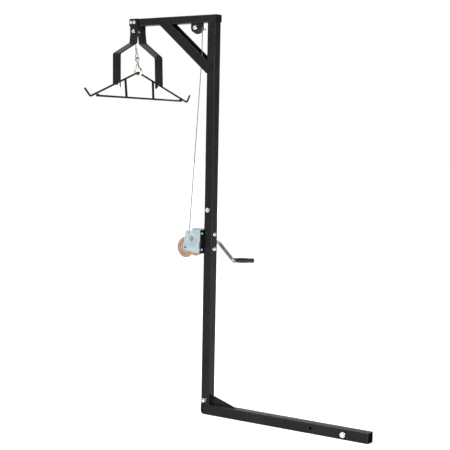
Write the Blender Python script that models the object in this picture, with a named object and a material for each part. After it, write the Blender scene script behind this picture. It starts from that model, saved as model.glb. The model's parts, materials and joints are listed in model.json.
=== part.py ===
"""Gambrel hoist kit: a hitch-mounted swivel mast with a hand winch and a spreader bar.

Metres, +Z up.  The mast axis is x = y = 0 and z = 0 is the underside of the base tube.
The base tube runs to +X, the arm and the winch are on the -X side, and the spreader
bar (the gambrel) lies along Y under the end of the arm.
"""
import math

import bmesh
import bpy
from mathutils import Matrix, Vector

# Driving dimensions -------------------------------------------------------------
GAP = 0.0003                 # clearance between pieces that touch
BASE = 0.0508                # 2 inch hitch shank, outside
BASE_WALL = 0.003
BASE_END = 0.926             # open end of the shank
MAST_LOWER = 0.0488          # outside of the lower mast tube and its socket
MAST_UPPER = 0.0480          # outside of the upper mast tube
WALL = 0.0025
SOCKET_TOP = 0.102
PIN_Z = 0.070                # cross pin under the swivel spigot
JOINT_Z = 0.967              # where the two mast tubes meet
JOINT_BOLT_X, JOINT_BOLT_Z = -0.004, 1.030
ARM_TOP = 1.996
ARM_HEIGHT = 0.0376
ARM_WIDTH = 0.048
ARM_TIP = -0.522
CABLE_R = 0.002

REAR_X, REAR_Z = -0.1000, 1.9345     # rear sheave axle
REAR_PITCH = 0.0278                  # cable centre line on the rear sheave
FRONT_X = -0.4865                    # front sheave axle, at mid height of the arm
FRONT_PITCH = 0.0140
PLATE_HALF = 0.0225                  # half width of the rear pulley plates
PLATE_X = -0.1030                    # middle of those plates

APEX_X, APEX_Z = -0.4807, 1.7215
LEAN = 0.157                         # the gambrel leans this far in X for each metre it drops
ROD_R = 0.005
HOOK_END_Y, HOOK_END_Z = 0.394, 1.5828
TIP_Y, TIP_Z = 0.428, 1.6219
CROSS_Z, CROSS_HALF = 1.588, 0.3470
STRUT_WIDTH, STRUT_THICK = 0.014, 0.005
STRUTS = (("gambrel_strut_near", -0.110, -0.1157), ("gambrel_strut_far", 0.1138, 0.1031))

BAR_WIDTH, BAR_THICK = 0.0485, 0.006
BAR_MIDS = {-1: -0.4896, 1: -0.4846}  # middle of each yoke bar at the arm bolts
BAR_LEANS = {-1: 0.0135, 1: 0.0400}  # each bar hangs a little out of true
BAR_BEND_HIGH, BAR_BEND_LOW, BAR_FOOT = 1.872, 1.808, 1.636
BAR_SPREAD = 0.164
BAR_SPRUNG, BAR_SPRUNG_FROM = 0.006, 1.920  # the bars spring apart below their lowest bolt
BOLT_Z = 1.9772
FRONT_BOLTS = {-1: -0.5068, 1: -0.5047}
AXLE_BOLT, LOW_BOLT = (FRONT_X, BOLT_Z), (-0.4915, 1.9315)

WINCH_PLATE_X = -0.0247              # mast side of the winch mounting plate
PLATE_REACH = 0.0480                 # half width of that plate
DRUM_X, DRUM_Z = -0.121, 0.839
DRUM_CORE, DRUM_FLANGE, WOUND_R = 0.016, 0.052, 0.0255
MODULE, PINION_TEETH, GEAR_TEETH = 0.0024, 10, 40
DRIVE_ANGLE = math.radians(49.8)     # direction from the drum shaft to the drive shaft
CENTRES = MODULE * (PINION_TEETH + GEAR_TEETH) / 2
DRIVE_X = DRUM_X + CENTRES * math.cos(DRIVE_ANGLE)
DRIVE_Z = DRUM_Z + CENTRES * math.sin(DRIVE_ANGLE)
SIDE_IN, SIDE_OUT = 0.0465, 0.0495   # winch side plates, either side of y = 0
CRANK_Y_HUB, CRANK_Y_GRIP = 0.098, 0.1250
CRANK_LENGTH, CRANK_ANGLE = 0.176, math.radians(-39.5)
GRIP_TILT = math.radians(7)          # the grip leans outwards along the crank arm
GRIP_LENGTH, GRIP_R = 0.156, 0.0137

SLANT_TOP = Vector((-0.4965, 0, 1.8500))     # top of the ferrule
SLANT_END = Vector((APEX_X, 0, APEX_Z))      # middle of the gambrel's apex

HOOK_TURN, LOOP_TURN = math.radians(18), math.radians(80)   # how the hook and the cable eye face

X_AXIS, Y_AXIS, Z_AXIS = Vector((1, 0, 0)), Vector((0, 1, 0)), Vector((0, 0, 1))

COLOURS = {
    "powder_coat": ((0.035, 0.035, 0.037), 0.45, 0.0),
    "zinc": ((0.66, 0.70, 0.72), 0.35, 0.9),
    "yellow_zinc": ((0.70, 0.55, 0.30), 0.3, 0.9),
    "steel": ((0.55, 0.56, 0.57), 0.4, 0.9),
    "wire_rope": ((0.50, 0.51, 0.50), 0.45, 0.8),
    "brass": ((0.62, 0.55, 0.35), 0.35, 0.9),
    "black_plastic": ((0.02, 0.02, 0.02), 0.5, 0.0),
    "nylon": ((0.05, 0.05, 0.055), 0.5, 0.0),
}


# Object helpers -----------------------------------------------------------------
def clear_scene():
    for obj in list(bpy.data.objects):
        bpy.data.objects.remove(obj, do_unlink=True)


def material(name):
    found = bpy.data.materials.get(name)
    if found:
        return found
    colour, roughness, metallic = COLOURS[name]
    made = bpy.data.materials.new(name)
    made.use_nodes = True
    shader = made.node_tree.nodes["Principled BSDF"]
    shader.inputs["Base Color"].default_value = (*colour, 1.0)
    shader.inputs["Roughness"].default_value = roughness
    shader.inputs["Metallic"].default_value = metallic
    made.diffuse_color = (*colour, 1.0)
    return made


def empty(name, position):
    obj = bpy.data.objects.new(name, None)
    obj.location = position
    bpy.context.collection.objects.link(obj)
    return obj


def finish(name, mesh, slot, origin=(0, 0, 0), smooth=False):
    """Make an object from a mesh in world coordinates, with its origin at origin."""
    mesh.transform(Matrix.Translation(-Vector(origin)))
    mesh.materials.append(material(slot))
    if smooth:
        mesh.shade_smooth()
        mesh.set_sharp_from_angle(angle=math.radians(35))
    obj = bpy.data.objects.new(name, mesh)
    obj.location = origin
    bpy.context.collection.objects.link(obj)
    return obj


def attach(parent, *objects):
    """Parent pieces to an empty that stands on their joint's axis."""
    for obj in objects:
        obj.parent = parent
        obj.location = obj.location - parent.location


def basis(axis):
    """Two directions that make a right-handed frame with axis."""
    side = Y_AXIS
    if abs(axis.z) > 0.5:
        side = X_AXIS
    elif abs(axis.y) > 0.5:
        side = Z_AXIS
    side = (side - axis * side.dot(axis)).normalized()
    return side, axis.cross(side)


def loft_mesh(name, rings, closed=False):
    """A solid through rings of points.  closed joins the last ring to the first."""
    bm = bmesh.new()
    made = [[bm.verts.new(point) for point in ring] for ring in rings]
    count = len(made[0])
    pairs = list(zip(made, made[1:]))
    if closed:
        pairs.append((made[-1], made[0]))
    for low, high in pairs:
        for i in range(count):
            j = (i + 1) % count
            bm.faces.new((low[i], low[j], high[j], high[i]))
    if not closed:
        bm.faces.new(tuple(reversed(made[0])))
        bm.faces.new(tuple(made[-1]))
    bmesh.ops.recalc_face_normals(bm, faces=bm.faces)
    mesh = bpy.data.meshes.new(name)
    bm.to_mesh(mesh)
    bm.free()
    return mesh


def ring(centre, axis, radius, sides, hexagon=False, turn=0.0):
    """A ring of points round an axis; hexagon gives a bolt head's outline."""
    side, up = basis(axis)
    points = []
    for i in range(sides):
        angle = 2 * math.pi * i / sides
        reach = radius
        if hexagon:
            local = (angle + math.pi / 6) % (math.pi / 3) - math.pi / 6
            reach = radius / math.cos(local)
        points.append(centre + (side * math.cos(angle + turn) + up * math.sin(angle + turn)) * reach)
    return points


def turned(name, slot, start, axis, stations, sides=24, origin=None, bore=None):
    """A turned piece.  stations are (distance, radius); a hex section adds True."""
    start = Vector(start)
    rings = []
    for station in stations:
        hexagon = len(station) > 2
        rings.append(ring(start + axis * station[0], axis, station[1], sides, hexagon))
    if bore:
        rings.append(ring(start + axis * stations[-1][0], axis, bore, sides))
        rings.append(ring(start + axis * stations[0][0], axis, bore, sides))
    mesh = loft_mesh(name, rings, closed=bool(bore))
    return finish(name, mesh, slot, origin or start, smooth=True)


def bolt(name, start, axis, length, shank, flats, slot="zinc", nut_at=None, nut=None):
    """A bolt with its washers and nut on.

    start is under the head, length runs to the end of the thread, and nut_at is the
    distance from start to the washer under the nut.
    """
    half = flats / 2
    washer = 0.0012
    stations = [(-half * 0.75, half * 0.86), (-half * 0.7, half * 0.98, True), (-washer, half * 0.98, True),
                (-washer, half * 1.3), (0, half * 1.3), (0, shank)]
    if nut_at:
        nut_half = (nut or flats) / 2
        stations += [(nut_at, shank), (nut_at, nut_half * 1.25), (nut_at + washer, nut_half * 1.25),
                     (nut_at + washer, nut_half * 0.98, True), (nut_at + nut_half, nut_half * 0.98, True),
                     (nut_at + nut_half, shank)]
    stations += [(length - 0.001, shank), (length, shank * 0.8)]
    return turned(name, slot, start, axis, stations, sides=12)


def rounded(width, height, radius, steps=3):
    """A rectangle with round corners about the origin, anticlockwise."""
    points = []
    for quarter, (sx, sy) in enumerate(((1, 1), (-1, 1), (-1, -1), (1, -1))):
        for step in range(steps + 1):
            angle = math.pi / 2 * (quarter + step / steps)
            points.append((sx * (width / 2 - radius) + radius * math.cos(angle),
                           sy * (height / 2 - radius) + radius * math.sin(angle)))
    return points


def square_tube(name, slot, axis, start, end, centre, size, wall, corner=0.004):
    """A hollow tube along axis; size is its width along basis(axis)."""
    side, up = basis(axis)
    centre = Vector(centre)
    outer = rounded(size[0], size[1], corner)
    inner = rounded(size[0] - 2 * wall, size[1] - 2 * wall, max(corner - wall, 0.001))

    def place(outline, along):
        return [centre + axis * along + side * u + up * v for u, v in outline]

    rings = [place(outer, start), place(outer, end), place(inner, end), place(inner, start)]
    return finish(name, loft_mesh(name, rings, closed=True), slot)


def block(name, slot, axis, sections, centre):
    """A solid through rounded rectangles: sections are (distance, width, height, shift)."""
    side, up = basis(axis)
    centre = Vector(centre)
    rings = []
    for along, width, height, shift in sections:
        outline = rounded(width, height, 0.003)
        rings.append([centre + axis * along + side * u + up * (v + shift) for u, v in outline])
    return finish(name, loft_mesh(name, rings), slot)


def prism(name, slot, outline, axis, low, high, origin=(0, 0, 0), smooth=False):
    """An outline of (x, y), (x, z) or (y, z) points made solid along the third axis."""
    def at(point, depth):
        u, v = point
        if axis is Y_AXIS:
            return Vector((u, depth, v))
        if axis is X_AXIS:
            return Vector((depth, u, v))
        return Vector((u, v, depth))

    rings = [[at(point, low) for point in outline], [at(point, high) for point in outline]]
    return finish(name, loft_mesh(name, rings), slot, origin, smooth)


def hide_tool(obj):
    obj.hide_render = True
    obj.display_type = "WIRE"
    return obj


def boolean(target, tool, operation="DIFFERENCE"):
    modifier = target.modifiers.new(operation.lower(), "BOOLEAN")
    modifier.operation = operation
    modifier.solver = "EXACT"
    modifier.object = hide_tool(tool)


def drill(target, holes, axis, length=0.2):
    """Cut round holes: each is (point on the axis, radius)."""
    rings = []
    for index, (point, radius) in enumerate(holes):
        start = Vector(point) - axis * (length / 2)
        ends = [ring(start, axis, radius, 16), ring(start + axis * length, axis, radius, 16)]
        tool = finish(f"{target.name}_hole_{index}", loft_mesh("hole", ends), "steel")
        boolean(target, tool)
        rings.append(tool)
    return rings


def cut_box(target, low, high, label="slot"):
    outline = [(low[0], low[1]), (high[0], low[1]), (high[0], high[1]), (low[0], high[1])]
    boolean(target, prism(f"{target.name}_{label}", "steel", outline, Z_AXIS, low[2], high[2]))


def smooth_path(points, spacing):
    """A Catmull-Rom curve through points, sampled about every spacing."""
    points = [Vector(p) for p in points]
    padded = [2 * points[0] - points[1]] + points + [2 * points[-1] - points[-2]]
    path = []
    for a, b, c, d in zip(padded, padded[1:], padded[2:], padded[3:]):
        steps = max(1, round((c - b).length / spacing))
        for i in range(steps):
            t = i / steps
            path.append(0.5 * (2 * b + (c - a) * t + (2 * a - 5 * b + 4 * c - d) * t * t
                               + (3 * b - a - 3 * c + d) * t ** 3))
    path.append(points[-1])
    return path


def round_corners(points, radius, steps=5):
    """A polyline whose inner corners are arcs of radius."""
    points = [Vector(p) for p in points]
    path = [points[0]]
    for before, corner, after in zip(points, points[1:], points[2:]):
        u, v = (before - corner).normalized(), (after - corner).normalized()
        half = u.angle(v) / 2
        reach = radius / math.tan(half)
        centre = corner + (u + v).normalized() * (radius / math.sin(half))
        first, last = corner + u * reach - centre, corner + v * reach - centre
        for i in range(steps + 1):
            path.append(centre + first.slerp(last, i / steps, first).normalized() * radius)
    path.append(points[-1])
    return path


def rod(name, slot, points, radius, resolution=2, origin=(0, 0, 0)):
    """A round bar, wire or cable: a curve with a bevel and filled caps."""
    curve = bpy.data.curves.new(name, "CURVE")
    curve.dimensions = "3D"
    curve.bevel_depth = radius
    curve.bevel_resolution = resolution
    curve.use_fill_caps = True
    curve.render_resolution_u = 0
    spline = curve.splines.new("POLY")
    spline.points.add(len(points) - 1)
    for target, point in zip(spline.points, points):
        target.co = (*(Vector(point) - Vector(origin)), 1.0)
    curve.materials.append(material(slot))
    obj = bpy.data.objects.new(name, curve)
    obj.location = origin
    bpy.context.collection.objects.link(obj)
    return obj


def arc(centre, radius, start, end, steps, plane_y=0.0):
    """Points on an arc in the XZ plane; angles in degrees from +X towards +Z."""
    points = []
    for i in range(steps + 1):
        angle = math.radians(start + (end - start) * i / steps)
        points.append(Vector((centre[0] + radius * math.cos(angle), plane_y,
                              centre[1] + radius * math.sin(angle))))
    return points


# Base and swivel ----------------------------------------------------------------
def build_base():
    shank_start = -0.008
    half = BASE / 2
    tube = square_tube("base_tube", "powder_coat", X_AXIS, shank_start, BASE_END, (0, 0, half),
                       (BASE, BASE), BASE_WALL)
    drill(tube, [((0.619, 0, half), 0.0082), ((0.795, 0, half - 0.003), 0.0083)], Y_AXIS)

    plug = BASE - 2 * BASE_WALL - 2 * GAP
    block("base_end_cap", "black_plastic", X_AXIS,
          [(-half, BASE - 0.004, BASE - 0.016, 0.007), (-half + 0.004, BASE - 0.001, BASE - 0.007, 0.003),
           (-half + 0.011, BASE, BASE, 0), (shank_start - GAP, BASE, BASE, 0),
           (shank_start - GAP, plug, plug, 0), (shank_start + 0.012, plug, plug, 0)], (0, 0, half))

    socket = square_tube("base_socket", "powder_coat", Z_AXIS, BASE + GAP, SOCKET_TOP, (0, 0, 0),
                         (MAST_LOWER, MAST_LOWER), BASE_WALL)
    drill(socket, [((0, 0, PIN_Z), 0.0083)], Y_AXIS)

    toe, face = 0.172, MAST_LOWER / 2 + GAP
    prism("base_gusset", "powder_coat", [(face, BASE + GAP), (toe, BASE + GAP), (toe, BASE + 0.003),
                                         (face + 0.006, 0.098), (face, 0.098)], Y_AXIS, -0.003, 0.003)

    bolt("hitch_bolt", (0.795, -half - 0.0025, half - 0.003), Y_AXIS, 0.072, 0.008, 0.021, nut_at=BASE + 0.005)

    grip_end = MAST_LOWER / 2
    turned("mast_pin", "zinc", (0, -0.041, PIN_Z), Y_AXIS,
           [(0, 0.0055), (0.0025, 0.008), (0.041 + grip_end + GAP, 0.008), (0.041 + grip_end + GAP, 0.0125),
            (0.041 + grip_end + 0.008, 0.0125), (0.041 + grip_end + 0.010, 0.010)], sides=16)
    drill(bpy.data.objects["mast_pin"], [((0, -0.033, PIN_Z), 0.0018)], X_AXIS, 0.05)

    eye = (-0.036, PIN_Z + 0.0058)
    leg = [(0.018, -0.033, 0.0840), (0.010, -0.033, 0.0803), (0, -0.033, 0.0803), (-0.012, -0.033, 0.0803),
           (-0.026, -0.033, 0.0808)]
    wire = smooth_path(leg, 0.004)[:-1] + arc(eye, 0.0058, 80, 270, 8, -0.033)
    clip = [(0.014, -0.033, PIN_Z)] + [tuple(p) for p in reversed(wire)]
    rod("pin_clip", "zinc", clip, 0.00125)

    turned("swivel_spigot", "steel", (0, 0, PIN_Z + 0.008 + GAP), Z_AXIS, [(0, 0.0205), (0.110, 0.0205)],
           sides=32, bore=0.0165, origin=(0, 0, SOCKET_TOP))


# Mast ---------------------------------------------------------------------------
def build_mast():
    lower = square_tube("mast_lower_tube", "powder_coat", Z_AXIS, SOCKET_TOP + GAP, JOINT_Z, (0, 0, 0),
                        (MAST_LOWER, MAST_LOWER), WALL)
    drill(lower, [((0, 0, 0.909), 0.0053), ((0, 0, 0.836), 0.0053)], X_AXIS)
    upper = square_tube("mast_upper_tube", "powder_coat", Z_AXIS, JOINT_Z + GAP,
                        ARM_TOP - ARM_HEIGHT - GAP, (0, 0, 0), (MAST_UPPER, MAST_UPPER), WALL)
    sleeve = square_tube("joint_sleeve", "steel", Z_AXIS, 0.926, 1.090, (0, 0, 0), (0.0424, 0.0424), WALL)
    for tube in (upper, sleeve):
        drill(tube, [((JOINT_BOLT_X, 0, JOINT_BOLT_Z), 0.0053)], Y_AXIS)
    half = MAST_UPPER / 2 + GAP
    bolt("joint_bolt", (JOINT_BOLT_X, -half, JOINT_BOLT_Z), Y_AXIS, 0.096, 0.005, 0.018, nut_at=2 * half)


# Arm, brace and pulleys -----------------------------------------------------------
def build_arm():
    mid = ARM_TOP - ARM_HEIGHT / 2
    under = ARM_TOP - ARM_HEIGHT
    end = MAST_UPPER / 2
    arm = square_tube("arm_tube", "powder_coat", X_AXIS, ARM_TIP, end, (0, 0, mid),
                      (ARM_WIDTH, ARM_HEIGHT), WALL)
    drill(arm, [((AXLE_BOLT[0], 0, AXLE_BOLT[1]), 0.0053)], Y_AXIS)
    for side in (-1, 1):
        drill(arm, [((FRONT_BOLTS[side], side * ARM_WIDTH / 2, BOLT_Z), 0.0053)], Y_AXIS, 0.01)
    cut_box(arm, (REAR_X - 0.034, -0.0085, under - 0.005), (REAR_X + 0.034, 0.0085, under + 0.006), "rear_slot")
    cut_box(arm, (-0.5060, -0.0070, under - 0.005), (-0.4700, 0.0070, under + 0.006), "front_slot")

    inner = (ARM_WIDTH - 2 * WALL - 2 * GAP, ARM_HEIGHT - 2 * WALL - 2 * GAP)
    block("arm_rear_cap", "black_plastic", X_AXIS,
          [(end - 0.010, *inner, 0), (end + GAP, *inner, 0), (end + GAP, ARM_WIDTH, ARM_HEIGHT, 0),
           (end + 0.0035, ARM_WIDTH, ARM_HEIGHT, 0), (end + 0.0045, ARM_WIDTH - 0.002, ARM_HEIGHT - 0.002, 0)],
          (0, 0, mid))
    block("arm_nose_cap", "black_plastic", X_AXIS,
          [(ARM_TIP - 0.004, ARM_WIDTH - 0.002, ARM_HEIGHT - 0.002, 0), (ARM_TIP - 0.003, ARM_WIDTH, ARM_HEIGHT, 0),
           (ARM_TIP - GAP, ARM_WIDTH, ARM_HEIGHT, 0), (ARM_TIP - GAP, *inner, 0),
           (ARM_TIP + 0.007, *inner, 0)], (0, 0, mid))
    build_brace(under)
    build_pulleys(under, mid)


def build_brace(under):
    """A channel, open upwards, whose flanges lap over the sides of the arm and the mast."""
    depth, thick = 0.0485, 0.003
    foot = Vector((-MAST_UPPER / 2, 0, 1.7078))
    head = Vector((-0.325, 0, under))
    run = (foot - head).normalized()
    rise = Vector((-run.z, 0, run.x))
    inner = MAST_UPPER / 2 + GAP
    corners = [head, foot, foot + rise * depth, head + rise * depth]
    flange = [(p.x, p.z) for p in corners]
    brace = prism("arm_brace", "powder_coat", flange, Y_AXIS, -inner - thick, -inner)
    other = prism("arm_brace_far", "powder_coat", flange, Y_AXIS, inner, inner + thick)

    def on_web(offset, x=None, z=None):
        start = head + rise * offset
        t = (x - start.x) / run.x if x is not None else (z - start.z) / run.z
        point = start + run * t
        return (point.x, point.z)

    skin, wall_x, wall_z = 0.0006, -MAST_UPPER / 2 - GAP, under - GAP
    web = prism("arm_brace_web", "powder_coat",
                [on_web(skin, z=wall_z), on_web(skin + thick, z=wall_z),
                 on_web(skin + thick, x=wall_x), on_web(skin, x=wall_x)],
                Y_AXIS, -inner - thick / 2, inner + thick / 2)
    boolean(brace, web, "UNION")
    boolean(brace, other, "UNION")
    cut_box(brace, (-0.092, -0.008, 1.71), (-0.060, 0.008, 1.80))


def build_pulleys(under, mid):
    plate = [(PLATE_X - PLATE_HALF, under - GAP)]
    plate += [(p.x, p.z) for p in arc((PLATE_X, 1.9340), PLATE_HALF, 180, 360, 12)]
    plate.append((PLATE_X + PLATE_HALF, under - GAP))
    outer = ARM_WIDTH / 2
    for name, low in (("pulley_plate_near", -outer), ("pulley_plate_far", outer - 0.0035)):
        piece = prism(name, "powder_coat", plate, Y_AXIS, low, low + 0.0035)
        drill(piece, [((REAR_X, 0, REAR_Z), 0.0053)], Y_AXIS)
    sheave("rear_sheave", (REAR_X, REAR_Z), REAR_PITCH, 0.0297, 0.0065, 0.0198, "nylon")
    bolt("rear_axle_bolt", (REAR_X, -outer - GAP, REAR_Z), Y_AXIS, 0.090, 0.005, 0.017, nut_at=ARM_WIDTH + 2 * GAP)
    sheave("front_sheave", (FRONT_X, mid), FRONT_PITCH, 0.0158, 0.0060, 0.0208, "nylon")


def sheave(name, centre, pitch, rim, half_width, hub_half, slot):
    floor = pitch - CABLE_R - GAP
    stations = [(-hub_half, 0.0080), (-half_width, 0.0080), (-half_width, rim - 0.0005), (-half_width + 0.0005, rim),
                (-0.0036, rim), (-0.0017, floor), (0.0017, floor), (0.0036, rim), (half_width - 0.0005, rim),
                (half_width, rim - 0.0005), (half_width, 0.0080), (hub_half, 0.0080)]
    return turned(name, slot, (centre[0], 0, centre[1]), Y_AXIS, stations, sides=28, bore=0.0052)


# Yoke ---------------------------------------------------------------------------
def build_yoke():
    inner = ARM_WIDTH / 2 + GAP
    for name, side in (("yoke_bar_near", -1), ("yoke_bar_far", 1)):
        bar_x = BAR_MIDS[side] + BAR_LEANS[side] * 0.15
        middle = inner + BAR_THICK / 2
        path = [(0, middle * side, ARM_TOP), (0, middle * side, BAR_SPRUNG_FROM),
                (0, (middle + BAR_SPRUNG) * side, BAR_BEND_HIGH),
                (0, BAR_SPREAD * side, BAR_BEND_LOW), (0, BAR_SPREAD * side, BAR_FOOT)]
        strip = strip_outline(path, BAR_THICK)
        bar = prism(name, "powder_coat", strip, X_AXIS, bar_x - BAR_WIDTH / 2 - 0.03, bar_x + BAR_WIDTH / 2 + 0.03)
        face = prism(f"{name}_face", "steel", yoke_face(side), Y_AXIS, -0.3, 0.3)
        boolean(bar, face, "INTERSECT")
        holes = ((FRONT_BOLTS[side], BOLT_Z), AXLE_BOLT, LOW_BOLT)
        drill(bar, [((x, 0, z), 0.0043) for x, z in holes], Y_AXIS)
    outside = inner + BAR_THICK + GAP
    for name, (x, z) in (("yoke_bolt_axle", AXLE_BOLT), ("yoke_bolt_lower", LOW_BOLT)):
        bolt(name, (x, -outside, z), Y_AXIS, 0.074, 0.004, 0.014, nut_at=2 * outside)
    inside = outside - ARM_WIDTH / 2 + WALL + GAP
    for name, side in (("yoke_bolt_front_near", -1), ("yoke_bolt_front_far", 1)):
        bolt(name, (FRONT_BOLTS[side], side * outside, BOLT_Z), Y_AXIS * -side, 0.0175, 0.004, 0.013, nut_at=inside)


def strip_outline(path, thick):
    """Both faces of a bent strip in the YZ plane, with rounded bends."""
    sides = []
    for offset, radius in ((-thick / 2, 0.010), (thick / 2, 0.010)):
        shifted = []
        for i, point in enumerate(path):
            before = Vector(path[max(i - 1, 0)])
            after = Vector(path[min(i + 1, len(path) - 1)])
            here = Vector(point)
            first = (here - before) if i else (after - here)
            second = (after - here) if i < len(path) - 1 else (here - before)
            n1 = Vector((0, -first.z, first.y)).normalized()
            n2 = Vector((0, -second.z, second.y)).normalized()
            bisector = (n1 + n2).normalized()
            shifted.append(here + bisector * (offset / bisector.dot(n1)))
        sides.append(round_corners(shifted, radius, steps=3))
    outline = sides[0] + list(reversed(sides[1]))
    return [(p.y, p.z) for p in outline]


def yoke_face(side):
    """The bar's outline seen from the side, with the notch that seats the gambrel rod."""
    half, lean = BAR_WIDTH / 2, BAR_LEANS[side]

    def bar(x, z):
        return (BAR_MIDS[side] + lean * (BOLT_Z - z) + x, z)

    rod_z = APEX_Z - (APEX_Z - HOOK_END_Z) / HOOK_END_Y * BAR_SPREAD
    notch_x, reach, roof = APEX_X + LEAN * (APEX_Z - rod_z), 0.0072, rod_z + 0.0078
    arch = [(p.x, p.z) for p in arc((notch_x, roof - reach), reach, 180, 0, 8)]
    if side < 0:
        foot = [bar(-half, 1.6525), bar(-half + 0.002, 1.6505), (arch[0][0], 1.6495)] + arch
        foot += [(notch_x + reach, 1.6560), (notch_x + reach + 0.0022, 1.6470), (notch_x + reach + 0.0028, 1.6400)]
        foot += [bar(half, 1.6370)]
    else:
        foot = [bar(-half, 1.6480), bar(-half + 0.006, 1.6455), bar(-half + 0.011, 1.6500)]
        foot += [(arch[0][0], 1.6580)] + arch + [(arch[-1][0], 1.6560), bar(half - 0.002, 1.6560), bar(half, 1.6580)]
    return [bar(-half, ARM_TOP)] + foot + [bar(half, ARM_TOP)]


# Winch --------------------------------------------------------------------------
def build_winch():
    plate_in = WINCH_PLATE_X - 0.005
    back_in, back_out = plate_in - GAP, plate_in - GAP - 0.003
    plate = prism("winch_mount_plate", "powder_coat",
                  [(plate_in, -PLATE_REACH), (WINCH_PLATE_X, -PLATE_REACH), (WINCH_PLATE_X, PLATE_REACH), (plate_in, PLATE_REACH)],
                  Z_AXIS, 0.812, 0.932)
    feet = [(-0.038, 0.913), (-0.038, 0.832)]
    mast_holes = [(0, 0.909), (0, 0.836)]
    drill(plate, [((0, y, z), 0.0053) for y, z in mast_holes + feet], X_AXIS)
    back = prism("winch_back_plate", "zinc",
                 [(back_out, -SIDE_IN + GAP), (back_in, -SIDE_IN + GAP), (back_in, SIDE_IN - GAP),
                  (back_out, SIDE_IN - GAP)], Z_AXIS, 0.816, 0.926)
    drill(back, [((0, y, z), 0.0115) for y, z in mast_holes] + [((0, y, z), 0.0043) for y, z in feet], X_AXIS)
    face = MAST_LOWER / 2 + GAP
    for name, (y, z) in zip(("mast_bolt_upper", "mast_bolt_lower"), mast_holes):
        bolt(name, (face, y, z), -X_AXIS, 0.070, 0.005, 0.016, nut_at=face - plate_in + GAP)
    for name, (y, z) in zip(("winch_bolt_upper", "winch_bolt_lower"), feet):
        bolt(name, (WINCH_PLATE_X + GAP, y, z), -X_AXIS, 0.020, 0.004, 0.0115,
             nut_at=WINCH_PLATE_X + GAP - back_out + GAP, nut=0.010)

    near = [(back_in, 0.928), (-0.119, 0.924)]
    near += [(p.x, p.z) for p in arc((-0.1235, 0.8365), 0.0115, 172, 262, 5)]
    near += [(-0.0365, 0.8130), (-0.0365, 0.8670), (-0.0355, 0.8700), (back_in, 0.8705)]
    far = [(back_in, 0.933), (-0.146, 0.931), (-0.152, 0.925)]
    far += [(p.x, p.z) for p in arc((-0.1425, 0.8315), 0.0125, 178, 264, 5)]
    far += [(-0.039, 0.8120), (back_in, 0.8130)]
    for name, outline, low in (("winch_side_near", near, -SIDE_OUT), ("winch_side_far", far, SIDE_IN)):
        side = prism(name, "zinc", outline, Y_AXIS, low, low + SIDE_OUT - SIDE_IN)
        holes = [((DRIVE_X, 0, DRIVE_Z), 0.0102), ((DRUM_X, 0, DRUM_Z), 0.0063)]
        holes.append(((-0.0997, 0, 0.9145), 0.0026) if low < 0 else ((PAWL_X, 0, PAWL_Z), 0.0043))
        tools = drill(side, holes, Y_AXIS, 0.3)
        for tool in tools:
            tool.name = f"{name}_{tool.name}"
    build_drum()
    build_drive()


def involute_gear(teeth, addendum, dedendum, thinner):
    """Outline of a spur gear with 20 degree involute teeth, centred on the origin."""
    pitch = MODULE * teeth / 2
    pressure = math.radians(20)
    base = pitch * math.cos(pressure)
    root, tip = pitch - dedendum, pitch + addendum
    half = math.pi / (2 * teeth) - thinner / pitch + math.tan(pressure) - pressure

    def half_angle(radius):
        angle = math.acos(min(1.0, base / max(radius, base)))
        return half - (math.tan(angle) - angle)

    low = max(root, base)
    flank = [root] if root < base else []
    flank += [low + (tip - low) * i / 2 for i in range(3)]
    points = []
    for tooth in range(teeth):
        centre = 2 * math.pi * tooth / teeth
        for radius in flank:
            points.append((radius, centre - half_angle(radius)))
        for radius in reversed(flank):
            points.append((radius, centre + half_angle(radius)))
    return points


def gear(name, slot, teeth, centre, low, high, addendum, dedendum, turn, bore):
    """A spur gear with a round bore, its ring of faces bridged from the bore to the teeth."""
    polar = involute_gear(teeth, addendum, dedendum, 0.00012)

    def at(radius, angle, depth):
        return Vector((centre[0] + radius * math.cos(angle + turn), depth,
                       centre[1] + radius * math.sin(angle + turn)))

    rings = [[at(r, a, low) for r, a in polar], [at(r, a, high) for r, a in polar],
             [at(bore, a, high) for r, a in polar], [at(bore, a, low) for r, a in polar]]
    mesh = loft_mesh(name, rings, closed=True)
    return finish(name, mesh, slot, (centre[0], (low + high) / 2, centre[1]))


def build_drum():
    axis = (DRUM_X, 0, DRUM_Z)
    near, far = -0.0440, 0.0350
    drum = turned("drum", "yellow_zinc", axis, Y_AXIS,
                  [(near, DRUM_FLANGE), (near + 0.002, DRUM_FLANGE), (near + 0.002, DRUM_CORE),
                   (far, DRUM_CORE), (far, DRUM_FLANGE - 0.004), (far + 0.002, DRUM_FLANGE - 0.004)],
                  sides=40, bore=0.0064)
    wound = turned("cable_on_drum", "wire_rope", axis, Y_AXIS,
                   [(near + 0.0024, WOUND_R), (far - 0.0004, WOUND_R)], sides=32, bore=DRUM_CORE + GAP)
    toothed = gear("drum_gear", "yellow_zinc", GEAR_TEETH, (DRUM_X, DRUM_Z), far + 0.0023, far + 0.0083,
                   0.0015, 0.0030, DRIVE_ANGLE, 0.0064)
    shaft = turned("drum_shaft", "steel", axis, Y_AXIS,
                   [(-0.0482, 0.0050), (-0.0475, 0.0060), (SIDE_OUT + GAP, 0.0060), (SIDE_OUT + GAP, 0.0095, True),
                    (SIDE_OUT + 0.006, 0.0095, True)], sides=24)
    attach(empty("drum_axis", axis), drum, wound, toothed)
    return shaft


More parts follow.
